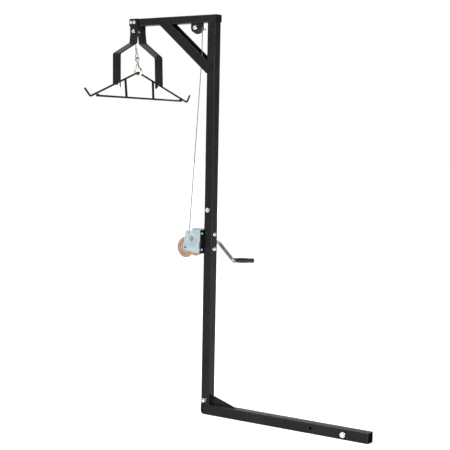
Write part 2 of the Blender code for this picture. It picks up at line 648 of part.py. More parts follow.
def build_drive():
    axis = Vector((DRIVE_X, 0, DRIVE_Z))
    for name, way in (("drive_bush_near", -1), ("drive_bush_far", 1)):
        turned(name, "brass", axis + Y_AXIS * way * SIDE_IN, Y_AXIS * way,
               [(-0.0005, 0.0099), (0.0033, 0.0099), (0.0033, 0.0125), (0.0053, 0.0125), (0.0058, 0.0120)],
               sides=24, bore=0.0066)
    shaft = turned("drive_shaft", "steel", axis, Y_AXIS,
                   [(-0.0555, 0.0055), (-0.0545, 0.0063), (CRANK_Y_HUB + 0.0125, 0.0063), (CRANK_Y_HUB + 0.0135, 0.0055)])
    half_tooth = math.pi / PINION_TEETH
    pinion = gear("pinion", "steel", PINION_TEETH, (DRIVE_X, DRIVE_Z), 0.0375, 0.0445, 0.0024, 0.0021,
                  DRIVE_ANGLE + math.pi + half_tooth, 0.0066)
    ratchet = prism("ratchet_wheel", "steel", ratchet_outline(), Y_AXIS, 0.0560, 0.0610, origin=axis)
    drill(ratchet, [(axis, 0.0066)], Y_AXIS, 0.3)
    crank = build_crank(axis)
    nut = turned("crank_nut", "zinc", axis + Y_AXIS * (CRANK_Y_HUB + 0.0028), Y_AXIS,
                 [(0, 0.0110), (0.0015, 0.0110), (0.0015, 0.0093, True), (0.0085, 0.0093, True)],
                 sides=12, bore=0.0066)
    pivot, along = crank_pivot(axis), grip_axis()
    stud = turned("grip_stud", "zinc", pivot - along * 0.0028, -along,
                  [(0.0060, 0.0070), (0.0050, 0.0085), (0, 0.0085), (0, 0.0040), (-0.012 - GRIP_LENGTH, 0.0040),
                   (-0.012 - GRIP_LENGTH, 0.0068), (-0.0145 - GRIP_LENGTH, 0.0060)], sides=16)
    grip = turned("grip", "black_plastic", pivot + along * 0.0045, along, grip_profile(), bore=0.0044)
    attach(empty("drive_axis", axis), shaft, pinion, ratchet, crank, nut, stud)
    attach(empty("grip_axis", pivot), grip)
    build_pawl()


def grip_profile():
    """Radius along the grip: a collar, a bulge and a domed end."""
    stations = []
    steps = 12
    for i in range(steps + 1):
        t = i / steps
        radius = GRIP_R * (0.84 + 0.16 * math.sin(math.pi * min(1.0, t * 1.15)) ** 2)
        stations.append((t * (GRIP_LENGTH - 0.008), radius))
    stations += [(GRIP_LENGTH - 0.003, GRIP_R * 0.70), (GRIP_LENGTH, GRIP_R * 0.56)]
    return [(0, GRIP_R * 0.78)] + [(0.002, stations[0][1])] + stations[1:]


def crank_radial():
    return Vector((math.cos(CRANK_ANGLE), 0, math.sin(CRANK_ANGLE)))


def crank_pivot(axis):
    return axis + crank_radial() * CRANK_LENGTH + Y_AXIS * CRANK_Y_GRIP


def grip_axis():
    return Y_AXIS * math.cos(GRIP_TILT) + crank_radial() * math.sin(GRIP_TILT)


def build_crank(axis):
    """A flat arm with a dogleg: level at the hub, stepped out, then square to the grip."""
    width, thick = 0.018, 0.005
    radial = crank_radial()
    sideways = radial.cross(Y_AXIS)
    slope = math.tan(GRIP_TILT)
    step = (0.052, CRANK_Y_GRIP + (CRANK_LENGTH - 0.052) * slope)
    path = [(0, -0.013, CRANK_Y_HUB), (0, 0.015, CRANK_Y_HUB), (0, *step),
            (0, CRANK_LENGTH + 0.012, CRANK_Y_GRIP - 0.012 * slope)]
    strip = strip_outline(path, thick)
    rings = [[axis + radial * along + sideways * across + Y_AXIS * depth for along, depth in strip]
             for across in (-width / 2, width / 2)]
    arm = finish("crank_arm", loft_mesh("crank_arm", rings), "zinc", axis)
    drill(arm, [(axis, 0.0066)], Y_AXIS, 0.4)
    pivot, along = crank_pivot(axis), grip_axis()
    ends = [ring(pivot - along * 0.02, along, 0.0043, 16), ring(pivot + along * 0.02, along, 0.0043, 16)]
    boolean(arm, finish("crank_arm_grip_hole", loft_mesh("hole", ends), "steel"))
    return arm


RATCHET_TEETH, RATCHET_TIP, RATCHET_ROOT = 12, 0.0225, 0.0185
PAWL_X, PAWL_Z = DRIVE_X + 0.028, DRIVE_Z + 0.0255


def ratchet_outline():
    """Saw teeth whose steep faces lie ahead of the direction that lets the cable out."""
    points = []
    for tooth in range(RATCHET_TEETH):
        start = 2 * math.pi * (tooth + 0.30) / RATCHET_TEETH
        for radius, step in ((RATCHET_ROOT, 0.0), (RATCHET_TIP, 0.06), (RATCHET_TIP - 0.0006, 0.28)):
            angle = start + 2 * math.pi * step / RATCHET_TEETH
            points.append((DRIVE_X + radius * math.cos(angle), DRIVE_Z + radius * math.sin(angle)))
    return points


def build_pawl():
    pin = turned("pawl_pin", "zinc", (PAWL_X, SIDE_IN - 0.004, PAWL_Z), Y_AXIS,
                 [(0, 0.0070), (0.0037, 0.0070), (0.0037, 0.0040), (0.0190, 0.0040), (0.0190, 0.0068),
                  (0.0215, 0.0060)], sides=16)
    nose = Vector((DRIVE_X + (RATCHET_TIP + 0.0006) * math.cos(1.32), 0, DRIVE_Z + (RATCHET_TIP + 0.0006) * math.sin(1.32)))
    eye = arc((PAWL_X, PAWL_Z), 0.0075, -95, 95, 8)
    outline = [(p.x, p.z) for p in eye]
    outline += [(nose.x + 0.004, nose.z + 0.0072), (nose.x, nose.z + 0.0035), (nose.x, nose.z), (nose.x + 0.005, nose.z)]
    pawl = prism("pawl", "zinc", outline, Y_AXIS, 0.0560, 0.0605, origin=(PAWL_X, 0.058, PAWL_Z))
    drill(pawl, [((PAWL_X, 0, PAWL_Z), 0.0043)], Y_AXIS, 0.3)
    attach(empty("pawl_axis", (PAWL_X, 0.058, PAWL_Z)), pawl)
    return pin


# Cable, hook and gambrel ----------------------------------------------------------
def build_cable():
    mid = ARM_TOP - ARM_HEIGHT / 2
    drum_side = [Vector((DRUM_X - WOUND_R - CABLE_R - GAP, 0.018, DRUM_Z + 0.004)),
                 Vector((DRUM_X - WOUND_R - CABLE_R + 0.0005, 0.0172, DRUM_Z + 0.040))]
    at_brace = Vector((REAR_X + REAR_PITCH, 0, 1.790))
    straight = [drum_side[1].lerp(at_brace, i / 12) for i in range(1, 13)]
    route = drum_side + straight + [Vector((REAR_X + REAR_PITCH, 0, 1.86))]
    route += arc((REAR_X, REAR_Z), REAR_PITCH, 0, 92, 8)
    rise = (mid + FRONT_PITCH) - (REAR_Z + REAR_PITCH)
    route += [Vector((REAR_X + (FRONT_X - REAR_X) * t, 0, REAR_Z + REAR_PITCH + rise * t)) for t in (0.25, 0.5, 0.75)]
    route += arc((FRONT_X, mid), FRONT_PITCH, 88, 180, 7)
    route.append(Vector((FRONT_X - FRONT_PITCH, 0, mid - 0.006)))
    rod("cable_run", "wire_rope", route, CABLE_R)

    drop_top = mid - 0.006 - GAP
    top = SLANT_TOP + Vector((-0.0017, 0, GAP))
    exit_x = FRONT_X - FRONT_PITCH
    drop = smooth_path([(exit_x, 0, drop_top), (exit_x - 0.0006, 0, 1.925), (exit_x - 0.0006, 0, 1.886),
                        top + Vector((-0.0009, 0, 0.014)), top], 0.010)
    rod("cable_drop", "wire_rope", drop, CABLE_R, origin=(FRONT_X - FRONT_PITCH, 0, drop_top))


def build_chain():
    """Ferrule, cable eye, hook and latch, on a line that leans with the cable."""
    down = (SLANT_END - SLANT_TOP).normalized()
    across = Vector((-down.z, 0, down.x))

    def at(along, side=0.0, y=0.0):
        return SLANT_TOP + down * along + across * side + Vector((0, y, 0))

    turned_ferrule = [(0, 0.0034), (0.0012, 0.0046), (0.0228, 0.0046), (0.0240, 0.0038)]
    rings = []
    for along, radius in turned_ferrule:
        points = []
        for i in range(16):
            angle = 2 * math.pi * i / 16
            points.append(at(along, radius * 1.15 * math.cos(angle), radius * math.sin(angle)))
        rings.append(points)
    finish("cable_ferrule", loft_mesh("cable_ferrule", rings), "steel", SLANT_TOP, smooth=True)

    loop_len, loop_half, loop_top = 0.0335, 0.0098, 0.0243 + CABLE_R
    centre = loop_top + loop_len - loop_half - CABLE_R
    wide = across * math.cos(LOOP_TURN) + Y_AXIS * math.sin(LOOP_TURN)
    thin = -across * math.sin(LOOP_TURN) + Y_AXIS * math.cos(LOOP_TURN)
    loop = [SLANT_TOP + down * loop_top]
    for i in range(21):
        angle = math.radians(-32 + 244 * i / 20)
        loop.append(SLANT_TOP + down * (centre + loop_half * math.sin(angle)) + wide * (loop_half * math.cos(angle)))
    closed_rod("cable_loop", "wire_rope", loop, CABLE_R, thin)

    eye_r, eye_wire = 0.0092, 0.0033
    eye_along = centre + loop_half - CABLE_R - GAP - eye_wire + eye_r
    flat = across * math.cos(HOOK_TURN) + Y_AXIS * math.sin(HOOK_TURN)
    out = -across * math.sin(HOOK_TURN) + Y_AXIS * math.cos(HOOK_TURN)

    def hook_at(side, along):
        return SLANT_TOP + down * along + flat * side

    eye = [hook_at(eye_r * math.sin(a), eye_along + eye_r * math.cos(a))
           for a in (2 * math.pi * i / 20 for i in range(20))]
    bowl_r, bowl_thick = 0.0182, 0.0058
    bowl = (SLANT_END - SLANT_TOP).length + ROD_R + 0.0014 + bowl_thick - bowl_r
    start = eye_along + eye_r
    spine = [(0.0, start - 0.0005, 0.0042), (0.0012, start + 0.005, 0.0044), (0.0062, bowl - 0.0196, 0.0044)]
    for i in range(15):
        angle = math.radians(58 - 226 * i / 14)
        thick = 0.0044 + 0.0014 * max(0.0, math.sin(-angle)) - 0.0010 * max(0.0, -math.degrees(angle) - 140) / 28
        spine.append((bowl_r * math.cos(angle), bowl - bowl_r * math.sin(angle), thick))
    spine.append((-bowl_r - 0.0024, bowl - 0.0085, 0.0026))
    centres = [hook_at(side, along) for side, along, thick in spine]
    rings = []
    for i, point in enumerate(centres):
        along = (centres[min(i + 1, len(centres) - 1)] - centres[max(i - 1, 0)]).normalized()
        side = along.cross(out).normalized()
        rings.append([point + (side * math.cos(a) + out * math.sin(a) * 0.92) * spine[i][2]
                      for a in (2 * math.pi * k / 12 for k in range(12))])
    body = finish("hook_body", loft_mesh("hook_body", rings), "zinc", smooth=True)
    boolean(body, closed_rod("hook_eye", "zinc", eye, eye_wire, out), "UNION")

    pivot = hook_at(-0.0046, start + 0.0085)
    tip = hook_at(-bowl_r + 0.0060, bowl - 0.0080)
    line = (tip - pivot).normalized()
    normal = line.cross(out)
    rings = [[point + normal * u + out * v for u, v in ((-0.0008, -0.0034), (0.0008, -0.0034), (0.0008, 0.0034),
                                                        (-0.0008, 0.0034))] for point in (pivot, tip)]
    latch = finish("hook_latch", loft_mesh("hook_latch", rings), "zinc", pivot)
    attach(empty("latch_axis", pivot), latch)


def closed_rod(name, slot, points, radius, flat, sides=10):
    """A ring of round section through a closed loop of points lying square to flat."""
    count = len(points)
    rings = []
    for i, point in enumerate(points):
        along = (points[(i + 1) % count] - points[i - 1]).normalized()
        side = along.cross(flat).normalized()
        rings.append([point + (flat * math.cos(a) + side * math.sin(a)) * radius
                      for a in (2 * math.pi * k / sides for k in range(sides))])
    return finish(name, loft_mesh(name, rings, closed=True), slot, smooth=True)


def build_gambrel():
    """Everything lies in one leaning plane through the apex."""
    def at(y, z, off=0.0):
        return Vector((APEX_X + LEAN * (APEX_Z - z) + off, y, z))

    corners = [at(-TIP_Y, TIP_Z), at(-HOOK_END_Y, HOOK_END_Z), at(0, APEX_Z + 0.0009), at(HOOK_END_Y, HOOK_END_Z),
               at(TIP_Y, TIP_Z)]
    rod("gambrel_main_rod", "powder_coat", round_corners(corners, 0.014, 6), ROD_R, 2)
    rod("gambrel_cross_rod", "powder_coat", [at(CROSS_HALF * t, CROSS_Z) for t in (-1, -0.5, 0, 0.5, 1)], ROD_R, 2)
    slope = (APEX_Z - HOOK_END_Z) / HOOK_END_Y
    for name, top_y, foot_y in STRUTS:
        half = STRUT_WIDTH / 2
        rings = []
        for middle, height in ((foot_y, None), (top_y, ROD_R * math.hypot(1, slope) + 2 * GAP)):
            ring_points = []
            for y, off in ((-half, -1), (half, -1), (half, 1), (-half, 1)):
                z = CROSS_Z + ROD_R + GAP
                if height:
                    z = APEX_Z - slope * abs(middle + y) - height
                ring_points.append(at(middle + y, z, off * STRUT_THICK / 2))
            rings.append(ring_points)
        finish(name, loft_mesh(name, rings), "powder_coat")


clear_scene()
build_base()
build_mast()
build_arm()
build_yoke()
build_winch()
build_cable()
build_chain()
build_gambrel()
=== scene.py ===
"""Looks for the gambrel hoist kit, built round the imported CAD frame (metres, +Z up)."""
import json
import math

import bmesh
import bpy
from mathutils import Matrix, Vector


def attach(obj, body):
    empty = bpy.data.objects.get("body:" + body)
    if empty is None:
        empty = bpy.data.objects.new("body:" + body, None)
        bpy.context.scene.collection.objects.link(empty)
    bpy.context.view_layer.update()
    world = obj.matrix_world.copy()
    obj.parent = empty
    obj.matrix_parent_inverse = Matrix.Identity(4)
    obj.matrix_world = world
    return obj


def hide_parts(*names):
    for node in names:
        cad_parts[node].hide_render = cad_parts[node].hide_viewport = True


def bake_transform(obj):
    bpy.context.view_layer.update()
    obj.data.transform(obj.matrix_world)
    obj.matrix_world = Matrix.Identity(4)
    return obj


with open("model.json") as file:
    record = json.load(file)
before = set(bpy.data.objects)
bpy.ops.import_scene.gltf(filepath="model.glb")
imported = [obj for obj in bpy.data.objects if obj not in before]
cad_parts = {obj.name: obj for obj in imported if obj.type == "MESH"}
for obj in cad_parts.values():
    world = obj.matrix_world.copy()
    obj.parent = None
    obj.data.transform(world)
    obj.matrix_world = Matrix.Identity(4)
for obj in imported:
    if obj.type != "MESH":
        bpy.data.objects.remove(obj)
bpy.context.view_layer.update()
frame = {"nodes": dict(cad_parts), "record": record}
NODE_BODY = {n: body for body, names in frame["record"]["behaviour"]["bodies"].items() for n in names}

X, Y, Z = Vector((1, 0, 0)), Vector((0, 1, 0)), Vector((0, 0, 1))


def in_plane(degrees):
    """The unit vector at this angle from +X towards +Z."""
    angle = math.radians(degrees)
    return Vector((math.cos(angle), 0, math.sin(angle)))


# Places and sizes shared with the CAD ---------------------------------------------
SNUG = 0.0003                                       # clearance between a piece and its seat
BASE_TOP = 0.0511
MAST_FACE, ARM_FACE, BASE_FACE = 0.0247, 0.0243, 0.0254
ARM_UNDER = 1.9580
PIN_Z = 0.070
CABLE_R, CABLE_LAY = 0.002, 0.026
DRUM = Vector((-0.121, 0, 0.839))
DRUM_CORE, WOUND_R = 0.016, 0.0255
GEAR_ANGLE, GEAR_CENTRES = 49.8, 0.060
DRIVE = DRUM + in_plane(GEAR_ANGLE) * GEAR_CENTRES
CRANK_ANGLE, CRANK_REACH = -39.5, 0.176
GRIP_LENGTH, GRIP_TILT = 0.156, math.radians(7)
REAR, REAR_PITCH = Vector((-0.1000, 0, 1.9345)), 0.0278
FRONT, FRONT_PITCH = Vector((-0.4865, 0, 1.9772)), 0.0140
YOKE_LOW_X, YOKE_LOW_Z = -0.4915, 1.9315
FERRULE_TOP = Vector((-0.4965, 0, 1.8500))
LATCH_PIVOT = Vector((-0.491189, -0.001421, 1.770957))
APEX = Vector((-0.4807, 0, 1.7215))                 # of the gambrel's main rod
LEAN, ROD_R = 0.157, 0.005                          # the gambrel leans out this much per metre down
HOOK_END, TIP = (0.394, 1.5828), (0.428, 1.6219)   # (half width, height) of its foot and tip
CROSS_Z, CROSS_HALF = 1.588, 0.3470


# Materials --------------------------------------------------------------------------
class Surface:
    """A Principled material with small helpers for its nodes; base is its flat tone without them."""

    def __init__(self, name, base, roughness, metallic=0.0):
        self.material = bpy.data.materials.new(name)
        self.material.use_nodes = True
        self.tree = self.material.node_tree
        self.shader = self.tree.nodes["Principled BSDF"]
        self.shader.inputs["Base Color"].default_value = (*base, 1)
        self.shader.inputs["Roughness"].default_value = roughness
        self.shader.inputs["Metallic"].default_value = metallic
        self.coords = self.add("ShaderNodeTexCoord").outputs["Object"]

    def add(self, kind, **values):
        node = self.tree.nodes.new(kind)
        for key, value in values.items():
            if hasattr(node, key):
                setattr(node, key, value)
            else:
                node.inputs[key].default_value = value
        return node

    def link(self, source, target):
        self.tree.links.new(source, target)

    def stretch(self, scale):
        mapping = self.add("ShaderNodeMapping")
        mapping.inputs["Scale"].default_value = scale
        self.link(self.coords, mapping.inputs["Vector"])
        return mapping.outputs["Vector"]

    def noise(self, scale, detail, distortion=0.0, vector=None):
        node = self.add("ShaderNodeTexNoise", Scale=scale, Detail=detail, Distortion=distortion)
        self.link(vector or self.coords, node.inputs["Vector"])
        return node.outputs["Fac"]

    def cells(self, scale, output="Distance"):
        node = self.add("ShaderNodeTexVoronoi", Scale=scale)
        self.link(self.coords, node.inputs["Vector"])
        return node.outputs[output]

    def spread(self, source, low, high):
        """The middle of a noise stretched over low to high."""
        node = self.add("ShaderNodeMapRange")
        for name, value in (("From Min", 0.3), ("From Max", 0.7), ("To Min", low), ("To Max", high)):
            node.inputs[name].default_value = value
        self.link(source, node.inputs["Value"])
        return node.outputs["Result"]

    def math(self, operation, first, second):
        node = self.add("ShaderNodeMath", operation=operation)
        for socket, value in zip(node.inputs, (first, second)):
            if isinstance(value, (int, float)):
                socket.default_value = value
            else:
                self.link(value, socket)
        return node.outputs["Value"]

    def ramp(self, source, stops):
        node = self.add("ShaderNodeValToRGB")
        elements = node.color_ramp.elements
        while len(elements) < len(stops):
            elements.new(0.5)
        for element, (position, colour) in zip(elements, stops):
            element.position = position
            element.color = (*colour, 1)
        self.link(source, node.inputs["Fac"])
        return node.outputs["Color"]

    def colour(self, source):
        self.link(source, self.shader.inputs["Base Color"])

    def rough(self, source):
        self.link(source, self.shader.inputs["Roughness"])

    def bump(self, *layers):
        """Layers are (height, strength, distance in metres), each over the one before."""
        before = None
        for height, strength, distance in layers:
            node = self.add("ShaderNodeBump", Strength=strength, Distance=distance)
            self.link(height, node.inputs["Height"])
            if before:
                self.link(before, node.inputs["Normal"])
            before = node.outputs["Normal"]
        self.link(before, self.shader.inputs["Normal"])


def powder_coat(name="powder_coat_black", specular=0.13, smooth=0.30, rough=0.42):
    s = Surface(name, (0.02, 0.02, 0.022), 0.4)
    broad = s.noise(5.0, 4.0, 0.3)
    fine = s.noise(420.0, 2.0)
    pits = s.cells(900.0)
    s.colour(s.ramp(broad, ((0.30, (0.0020, 0.0020, 0.0024)), (0.55, (0.0032, 0.0032, 0.0038)),
                            (0.75, (0.0052, 0.0052, 0.0060)))))
    patches = s.spread(s.noise(22.0, 3.0), -0.05, 0.06)
    s.rough(s.math("ADD", s.spread(fine, smooth, rough), patches))
    s.bump((s.noise(60.0, 2.0), 0.10, 0.0010), (fine, 0.22, 0.0005), (pits, 0.10, 0.0002))
    s.shader.inputs["Specular IOR Level"].default_value = specular
    return s.material


def scaled(tint, factor):
    return tuple(c * factor for c in tint)


def zinc(name="zinc_plate", tint=(0.37, 0.45, 0.49), low=0.28, high=0.44, brushed=(30, 30, 400)):
    s = Surface(name, tint, 0.3, 1.0)
    streak = s.noise(1.0, 4.0, 0.0, s.stretch(brushed))
    cloud = s.noise(26.0, 4.0, 0.6)
    spangle = s.cells(160.0, "Color")
    mixed = s.math("ADD", s.math("MULTIPLY", cloud, 0.65), s.math("MULTIPLY", spangle, 0.35))
    s.colour(s.ramp(mixed, ((0.28, scaled(tint, 0.82)), (0.50, tint), (0.72, scaled(tint, 1.12)))))
    s.rough(s.math("ADD", s.spread(streak, low, high), s.spread(cloud, -0.04, 0.06)))
    s.bump((streak, 0.12, 0.0002), (s.noise(500.0, 2.0), 0.08, 0.0001))
    return s.material


def yellow_zinc(name="yellow_chromate", tone_scale=1.0):
    """Chromate film: gold that drifts through rose and violet where it is thicker. The second argument scales
    every tone down; a low value paints shade.
    """
    s = Surface(name, (0.42, 0.33, 0.18), 0.25, 1.0)
    film = s.noise(17.0, 3.5, 1.6)
    rings = s.cells(34.0)
    mixed = s.math("ADD", s.math("MULTIPLY", film, 0.8), s.math("MULTIPLY", rings, 0.3))
    tones = ((0.24, (0.26, 0.29, 0.19)), (0.36, (0.36, 0.32, 0.17)), (0.46, (0.42, 0.33, 0.18)),
             (0.56, (0.40, 0.27, 0.20)), (0.66, (0.33, 0.22, 0.25)), (0.78, (0.36, 0.33, 0.28)))
    s.colour(s.ramp(mixed, [(at, scaled(tone, tone_scale)) for at, tone in tones]))
    s.rough(s.spread(s.noise(90.0, 3.0), 0.18, 0.36))
    s.bump((s.noise(1.0, 3.0, 0.0, s.stretch((40, 500, 40))), 0.10, 0.0002),)
    return s.material


def steel(name="plain_steel", tint=(0.34, 0.35, 0.36), low=0.28, high=0.50):
    s = Surface(name, tint, 0.4, 1.0)
    grain = s.noise(1.0, 4.0, 0.0, s.stretch((60, 700, 60)))
    stain = s.noise(40.0, 4.0, 0.8)
    s.colour(s.ramp(stain, ((0.30, scaled(tint, 0.62)), (0.50, tint), (0.75, scaled(tint, 1.2)))))
    s.rough(s.spread(grain, low, high))
    s.bump((grain, 0.15, 0.0002),)
    return s.material


def wire_rope():
    s = Surface("galvanised_wire", (0.10, 0.10, 0.10), 0.4, 1.0)
    grime = s.noise(120.0, 3.0, 0.4)
    wires = s.noise(1.0, 2.0, 0.0, s.stretch((2600, 2600, 500)))
    s.colour(s.ramp(grime, ((0.30, (0.04, 0.04, 0.04)), (0.50, (0.09, 0.09, 0.09)),
                            (0.72, (0.16, 0.16, 0.16)))))
    s.rough(s.spread(grime, 0.32, 0.55))
    s.bump((wires, 0.35, 0.0003),)
    return s.material


def moulded(name, tint, low, high, grain=900.0, strength=0.25, specular=0.20):
    s = Surface(name, tint, 0.5)
    s.shader.inputs["Specular IOR Level"].default_value = specular
    fine = s.noise(grain, 2.0)
    cloud = s.noise(30.0, 3.0)
    s.colour(s.ramp(cloud, ((0.3, scaled(tint, 0.7)), (0.7, scaled(tint, 1.5)))))
    s.rough(s.spread(fine, low, high))
    s.bump((s.cells(grain), strength * 0.5, 0.0002), (fine, strength, 0.0003))
    return s.material


def bronze():
    s = Surface("sintered_bronze", (0.30, 0.27, 0.17), 0.4, 1.0)
    pores = s.noise(700.0, 2.0)
    tone = s.noise(60.0, 3.0)
    s.colour(s.ramp(tone, ((0.3, (0.13, 0.13, 0.09)), (0.5, (0.21, 0.20, 0.13)), (0.7, (0.34, 0.32, 0.22)))))
    s.rough(s.spread(pores, 0.28, 0.48))
    s.bump((pores, 0.2, 0.0002),)
    return s.material


MATERIALS = {
    "powder_coat": powder_coat(),
    "powder_coat_corner": powder_coat("powder_coat_corner", 0.60, 0.20, 0.30),
    "zinc": zinc(),
    "crank_zinc": zinc("crank_zinc", (0.27, 0.28, 0.29), 0.24, 0.38, (60, 500, 60)),
    "hook_zinc": zinc("hook_zinc", (0.50, 0.47, 0.36), 0.18, 0.34, (200, 200, 200)),
    "bolt_zinc": zinc("bolt_zinc", (0.56, 0.60, 0.62), 0.18, 0.34, (300, 300, 300)),
    "yellow_zinc": yellow_zinc(),
    # A darkened copy of the chromate: painted shade for the stamped rings on the drum's near cheek.
    "yellow_zinc_painted_shade": yellow_zinc("chromate_painted_shade", 0.28),
    "steel": steel(),
    "dark_steel": steel("blackened_steel", (0.07, 0.07, 0.075), 0.30, 0.46),
    "ferrule": steel("pressed_ferrule", (0.30, 0.30, 0.28), 0.30, 0.48),
    "wire_rope": wire_rope(),
    "brass": bronze(),
    "black_plastic": moulded("black_plastic", (0.0025, 0.0025, 0.003), 0.40, 0.56, specular=0.05),
    "grip_rubber": moulded("grip_rubber", (0.006, 0.006, 0.0065), 0.30, 0.46, 1200.0, 0.18),
    "nylon": moulded("black_nylon", (0.016, 0.016, 0.017), 0.30, 0.45, 600.0, 0.12),
}


# Mesh helpers -----------------------------------------------------------------------
SHARP, LONG_CORNER = math.radians(30), 0.12     # edges that are rounded; a tube's corner is this long
STRANDS, ROPE_ANGLE = 6, 60                     # a rope's facets stay smooth below this angle


def place(name, mesh, material, body, stands_for=(), angle=35):
    """One visual piece, carried by its body and standing for CAD nodes; edges above angle are sharp."""
    mesh.materials.clear()
    mesh.materials.append(MATERIALS[material])
    mesh.shade_smooth()
    if angle:
        mesh.set_sharp_from_angle(angle=math.radians(angle))
    obj = bpy.data.objects.new(name, mesh)
    bpy.context.scene.collection.objects.link(obj)
    if body:
        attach(obj, body)
    if stands_for:
        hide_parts(*stands_for)
    return obj


def apply_modifiers(obj):
    graph = bpy.context.evaluated_depsgraph_get()
    mesh = bpy.data.meshes.new_from_object(obj.evaluated_get(graph))
    obj.modifiers.clear()
    obj.data = mesh
    return obj


def refined(node, material, width, segments, corner=None):
    """The CAD node with its edges rounded by width; a tube's long corners by corner, and glossier."""
    bm = bmesh.new()
    bm.from_mesh(frame["nodes"][node].data)
    bmesh.ops.remove_doubles(bm, verts=bm.verts, dist=1e-6)
    bmesh.ops.dissolve_limit(bm, angle_limit=math.radians(0.5), verts=bm.verts, edges=bm.edges)
    weight = bm.edges.layers.float.new("bevel_weight_edge")
    for edge in bm.edges:
        if len(edge.link_faces) == 2 and edge.calc_face_angle() > SHARP:
            edge[weight] = 1.0 if not corner or edge.calc_length() > LONG_CORNER else width / corner
    mesh = bpy.data.meshes.new(f"{node}_shape")
    bm.to_mesh(mesh)
    bm.free()
    obj = place(f"{node}_finished", mesh, material, NODE_BODY[node], (node,), angle=None)
    bevel = obj.modifiers.new("bevel", "BEVEL")
    bevel.width = corner or width
    bevel.segments = segments
    bevel.limit_method = "WEIGHT"
    if corner:
        obj.data.materials.append(MATERIALS["powder_coat_corner"])
        bevel.material = 1
    weighted = obj.modifiers.new("weighted", "WEIGHTED_NORMAL")
    weighted.mode = "FACE_AREA"
    weighted.weight = 100
    return apply_modifiers(obj)


def basis(axis):
    """Two unit vectors square to the axis and to each other."""
    side = X if abs(axis.z) > 0.5 else (Z if abs(axis.y) > 0.5 else Y)
    side = (side - axis * side.dot(axis)).normalized()
    return side, axis.cross(side)


def rings_mesh(name, groups):
    """One mesh from groups of rings. A group is (rings, closed, capped)."""
    bm = bmesh.new()
    for rings, closed, capped in groups:
        made = [[bm.verts.new(p) for p in r] for r in rings]
        count = len(made[0])
        pairs = list(zip(made, made[1:])) + ([(made[-1], made[0])] if closed else [])
        for low, high in pairs:
            for i in range(count):
                j = (i + 1) % count
                bm.faces.new((low[i], low[j], high[j], high[i]))
        if capped and not closed:
            bm.faces.new(tuple(reversed(made[0])))
            bm.faces.new(tuple(made[-1]))
    bmesh.ops.recalc_face_normals(bm, faces=bm.faces)
    mesh = bpy.data.meshes.new(name)
    bm.to_mesh(mesh)
    bm.free()
    return mesh


def turned_rings(start, axis, stations, sides, bore=None):
    """Rings round an axis. Stations are (distance, radius), or (distance, half flats, corner radius)."""
    side, up = basis(axis)
    if bore:
        stations = [*stations, (stations[-1][0], bore), (stations[0][0], bore)]
    rings = []
    for distance, radius, *corner in stations:
        points = []
        for i in range(sides):
            a = 2 * math.pi * i / sides
            reach = radius
            if corner:
                from_flat = (a + math.pi / 6) % (math.pi / 3) - math.pi / 6
                reach = min(radius / math.cos(from_flat), corner[0])
            points.append(start + axis * distance + (side * math.cos(a) + up * math.sin(a)) * reach)
        rings.append(points)
    return rings, bool(bore), not bore


def hexagon(start, axis, height, half, both=False):
    """A hex head or nut with its corners chamfered on top, or on both sides, standing on start."""
    corner, crown = half * 1.155, half * 0.97
    stations = [(0, crown, crown), (height * 0.12, half, corner)] if both else [(0, half, corner)]
    stations += [(height * 0.84, half, corner), (height * 0.93, half, half * 1.06), (height, crown, crown)]
    return turned_rings(start, axis, stations, 48)


def washer(start, axis, height, radius, bore):
    """A washer with its rims eased."""
    edge = height * 0.25
    return turned_rings(start, axis, [(0, radius - edge), (edge, radius), (height - edge, radius),
                                      (height, radius - edge)], 36, bore)


def thread(start, axis, length, radius, pitch=0.00125):
    """A threaded end, its crests drawn as rings."""
    stations = [(0, radius * 0.86)]
    turns = max(2, int(length / pitch))
    for i in range(turns):
        stations += [((i + 0.25) * length / turns, radius), ((i + 0.75) * length / turns, radius - pitch * 0.5)]
    stations += [(length, radius * 0.78)]
    return turned_rings(start, axis, stations, 20)


def fastener(node, start, axis, length, shank, flats, nut_at, nut=None):
    """A bolt of radius shank, its washers, its nut and the thread that stands proud of it."""
    start, half = Vector(start), flats / 2
    out, thick, bore = -axis, 0.0012, shank * 0.9
    head, head_height = start + out * thick, half * 0.75 - thick
    raised = [(0, half * 0.62), (0.0003, half * 0.60), (0.0004, half * 0.56)]
    plain = shank * 0.98
    nut_half = (nut or flats) / 2
    seat, proud = start + axis * nut_at, nut_half * 0.9
    groups = [washer(start, out, thick, half * 1.3, bore),
              hexagon(head, out, head_height, half * 0.98),
              turned_rings(head + out * (head_height - 0.0001), out, raised, 24),
              turned_rings(start + axis * 0.0002, axis, [(0, plain), (nut_at, plain)], 24),
              washer(seat, axis, thick, nut_half * 1.25, bore),
              hexagon(seat + axis * thick, axis, nut_half - thick, nut_half * 0.98, both=True),
              thread(seat + axis * proud, axis, length - nut_at - proud, shank)]
    place(f"{node}_detail", rings_mesh(node, groups), "bolt_zinc", NODE_BODY[node], (node,), angle=28)


def travelling_frames(points):
    """(point, side, up) at each point, turning as little as the path lets it."""
    side, frames = None, []
    for i, point in enumerate(points):
        along = (points[min(i + 1, len(points) - 1)] - points[max(i - 1, 0)]).normalized()
        side = side or basis(along)[0]
        side = (side - along * side.dot(along)).normalized()
        frames.append((point, side, along.cross(side)))
    return frames


def tube_along(points, radii, sides):
    """Rings of round section along points; radii is a number or one per point."""
    rings = []
    for i, (point, side, up) in enumerate(travelling_frames(points)):
        radius = radii if isinstance(radii, float) else radii[i]
        rings.append([point + (side * math.cos(2 * math.pi * k / sides)
                               + up * math.sin(2 * math.pi * k / sides)) * radius
                      for k in range(sides)])
    return rings, False, True


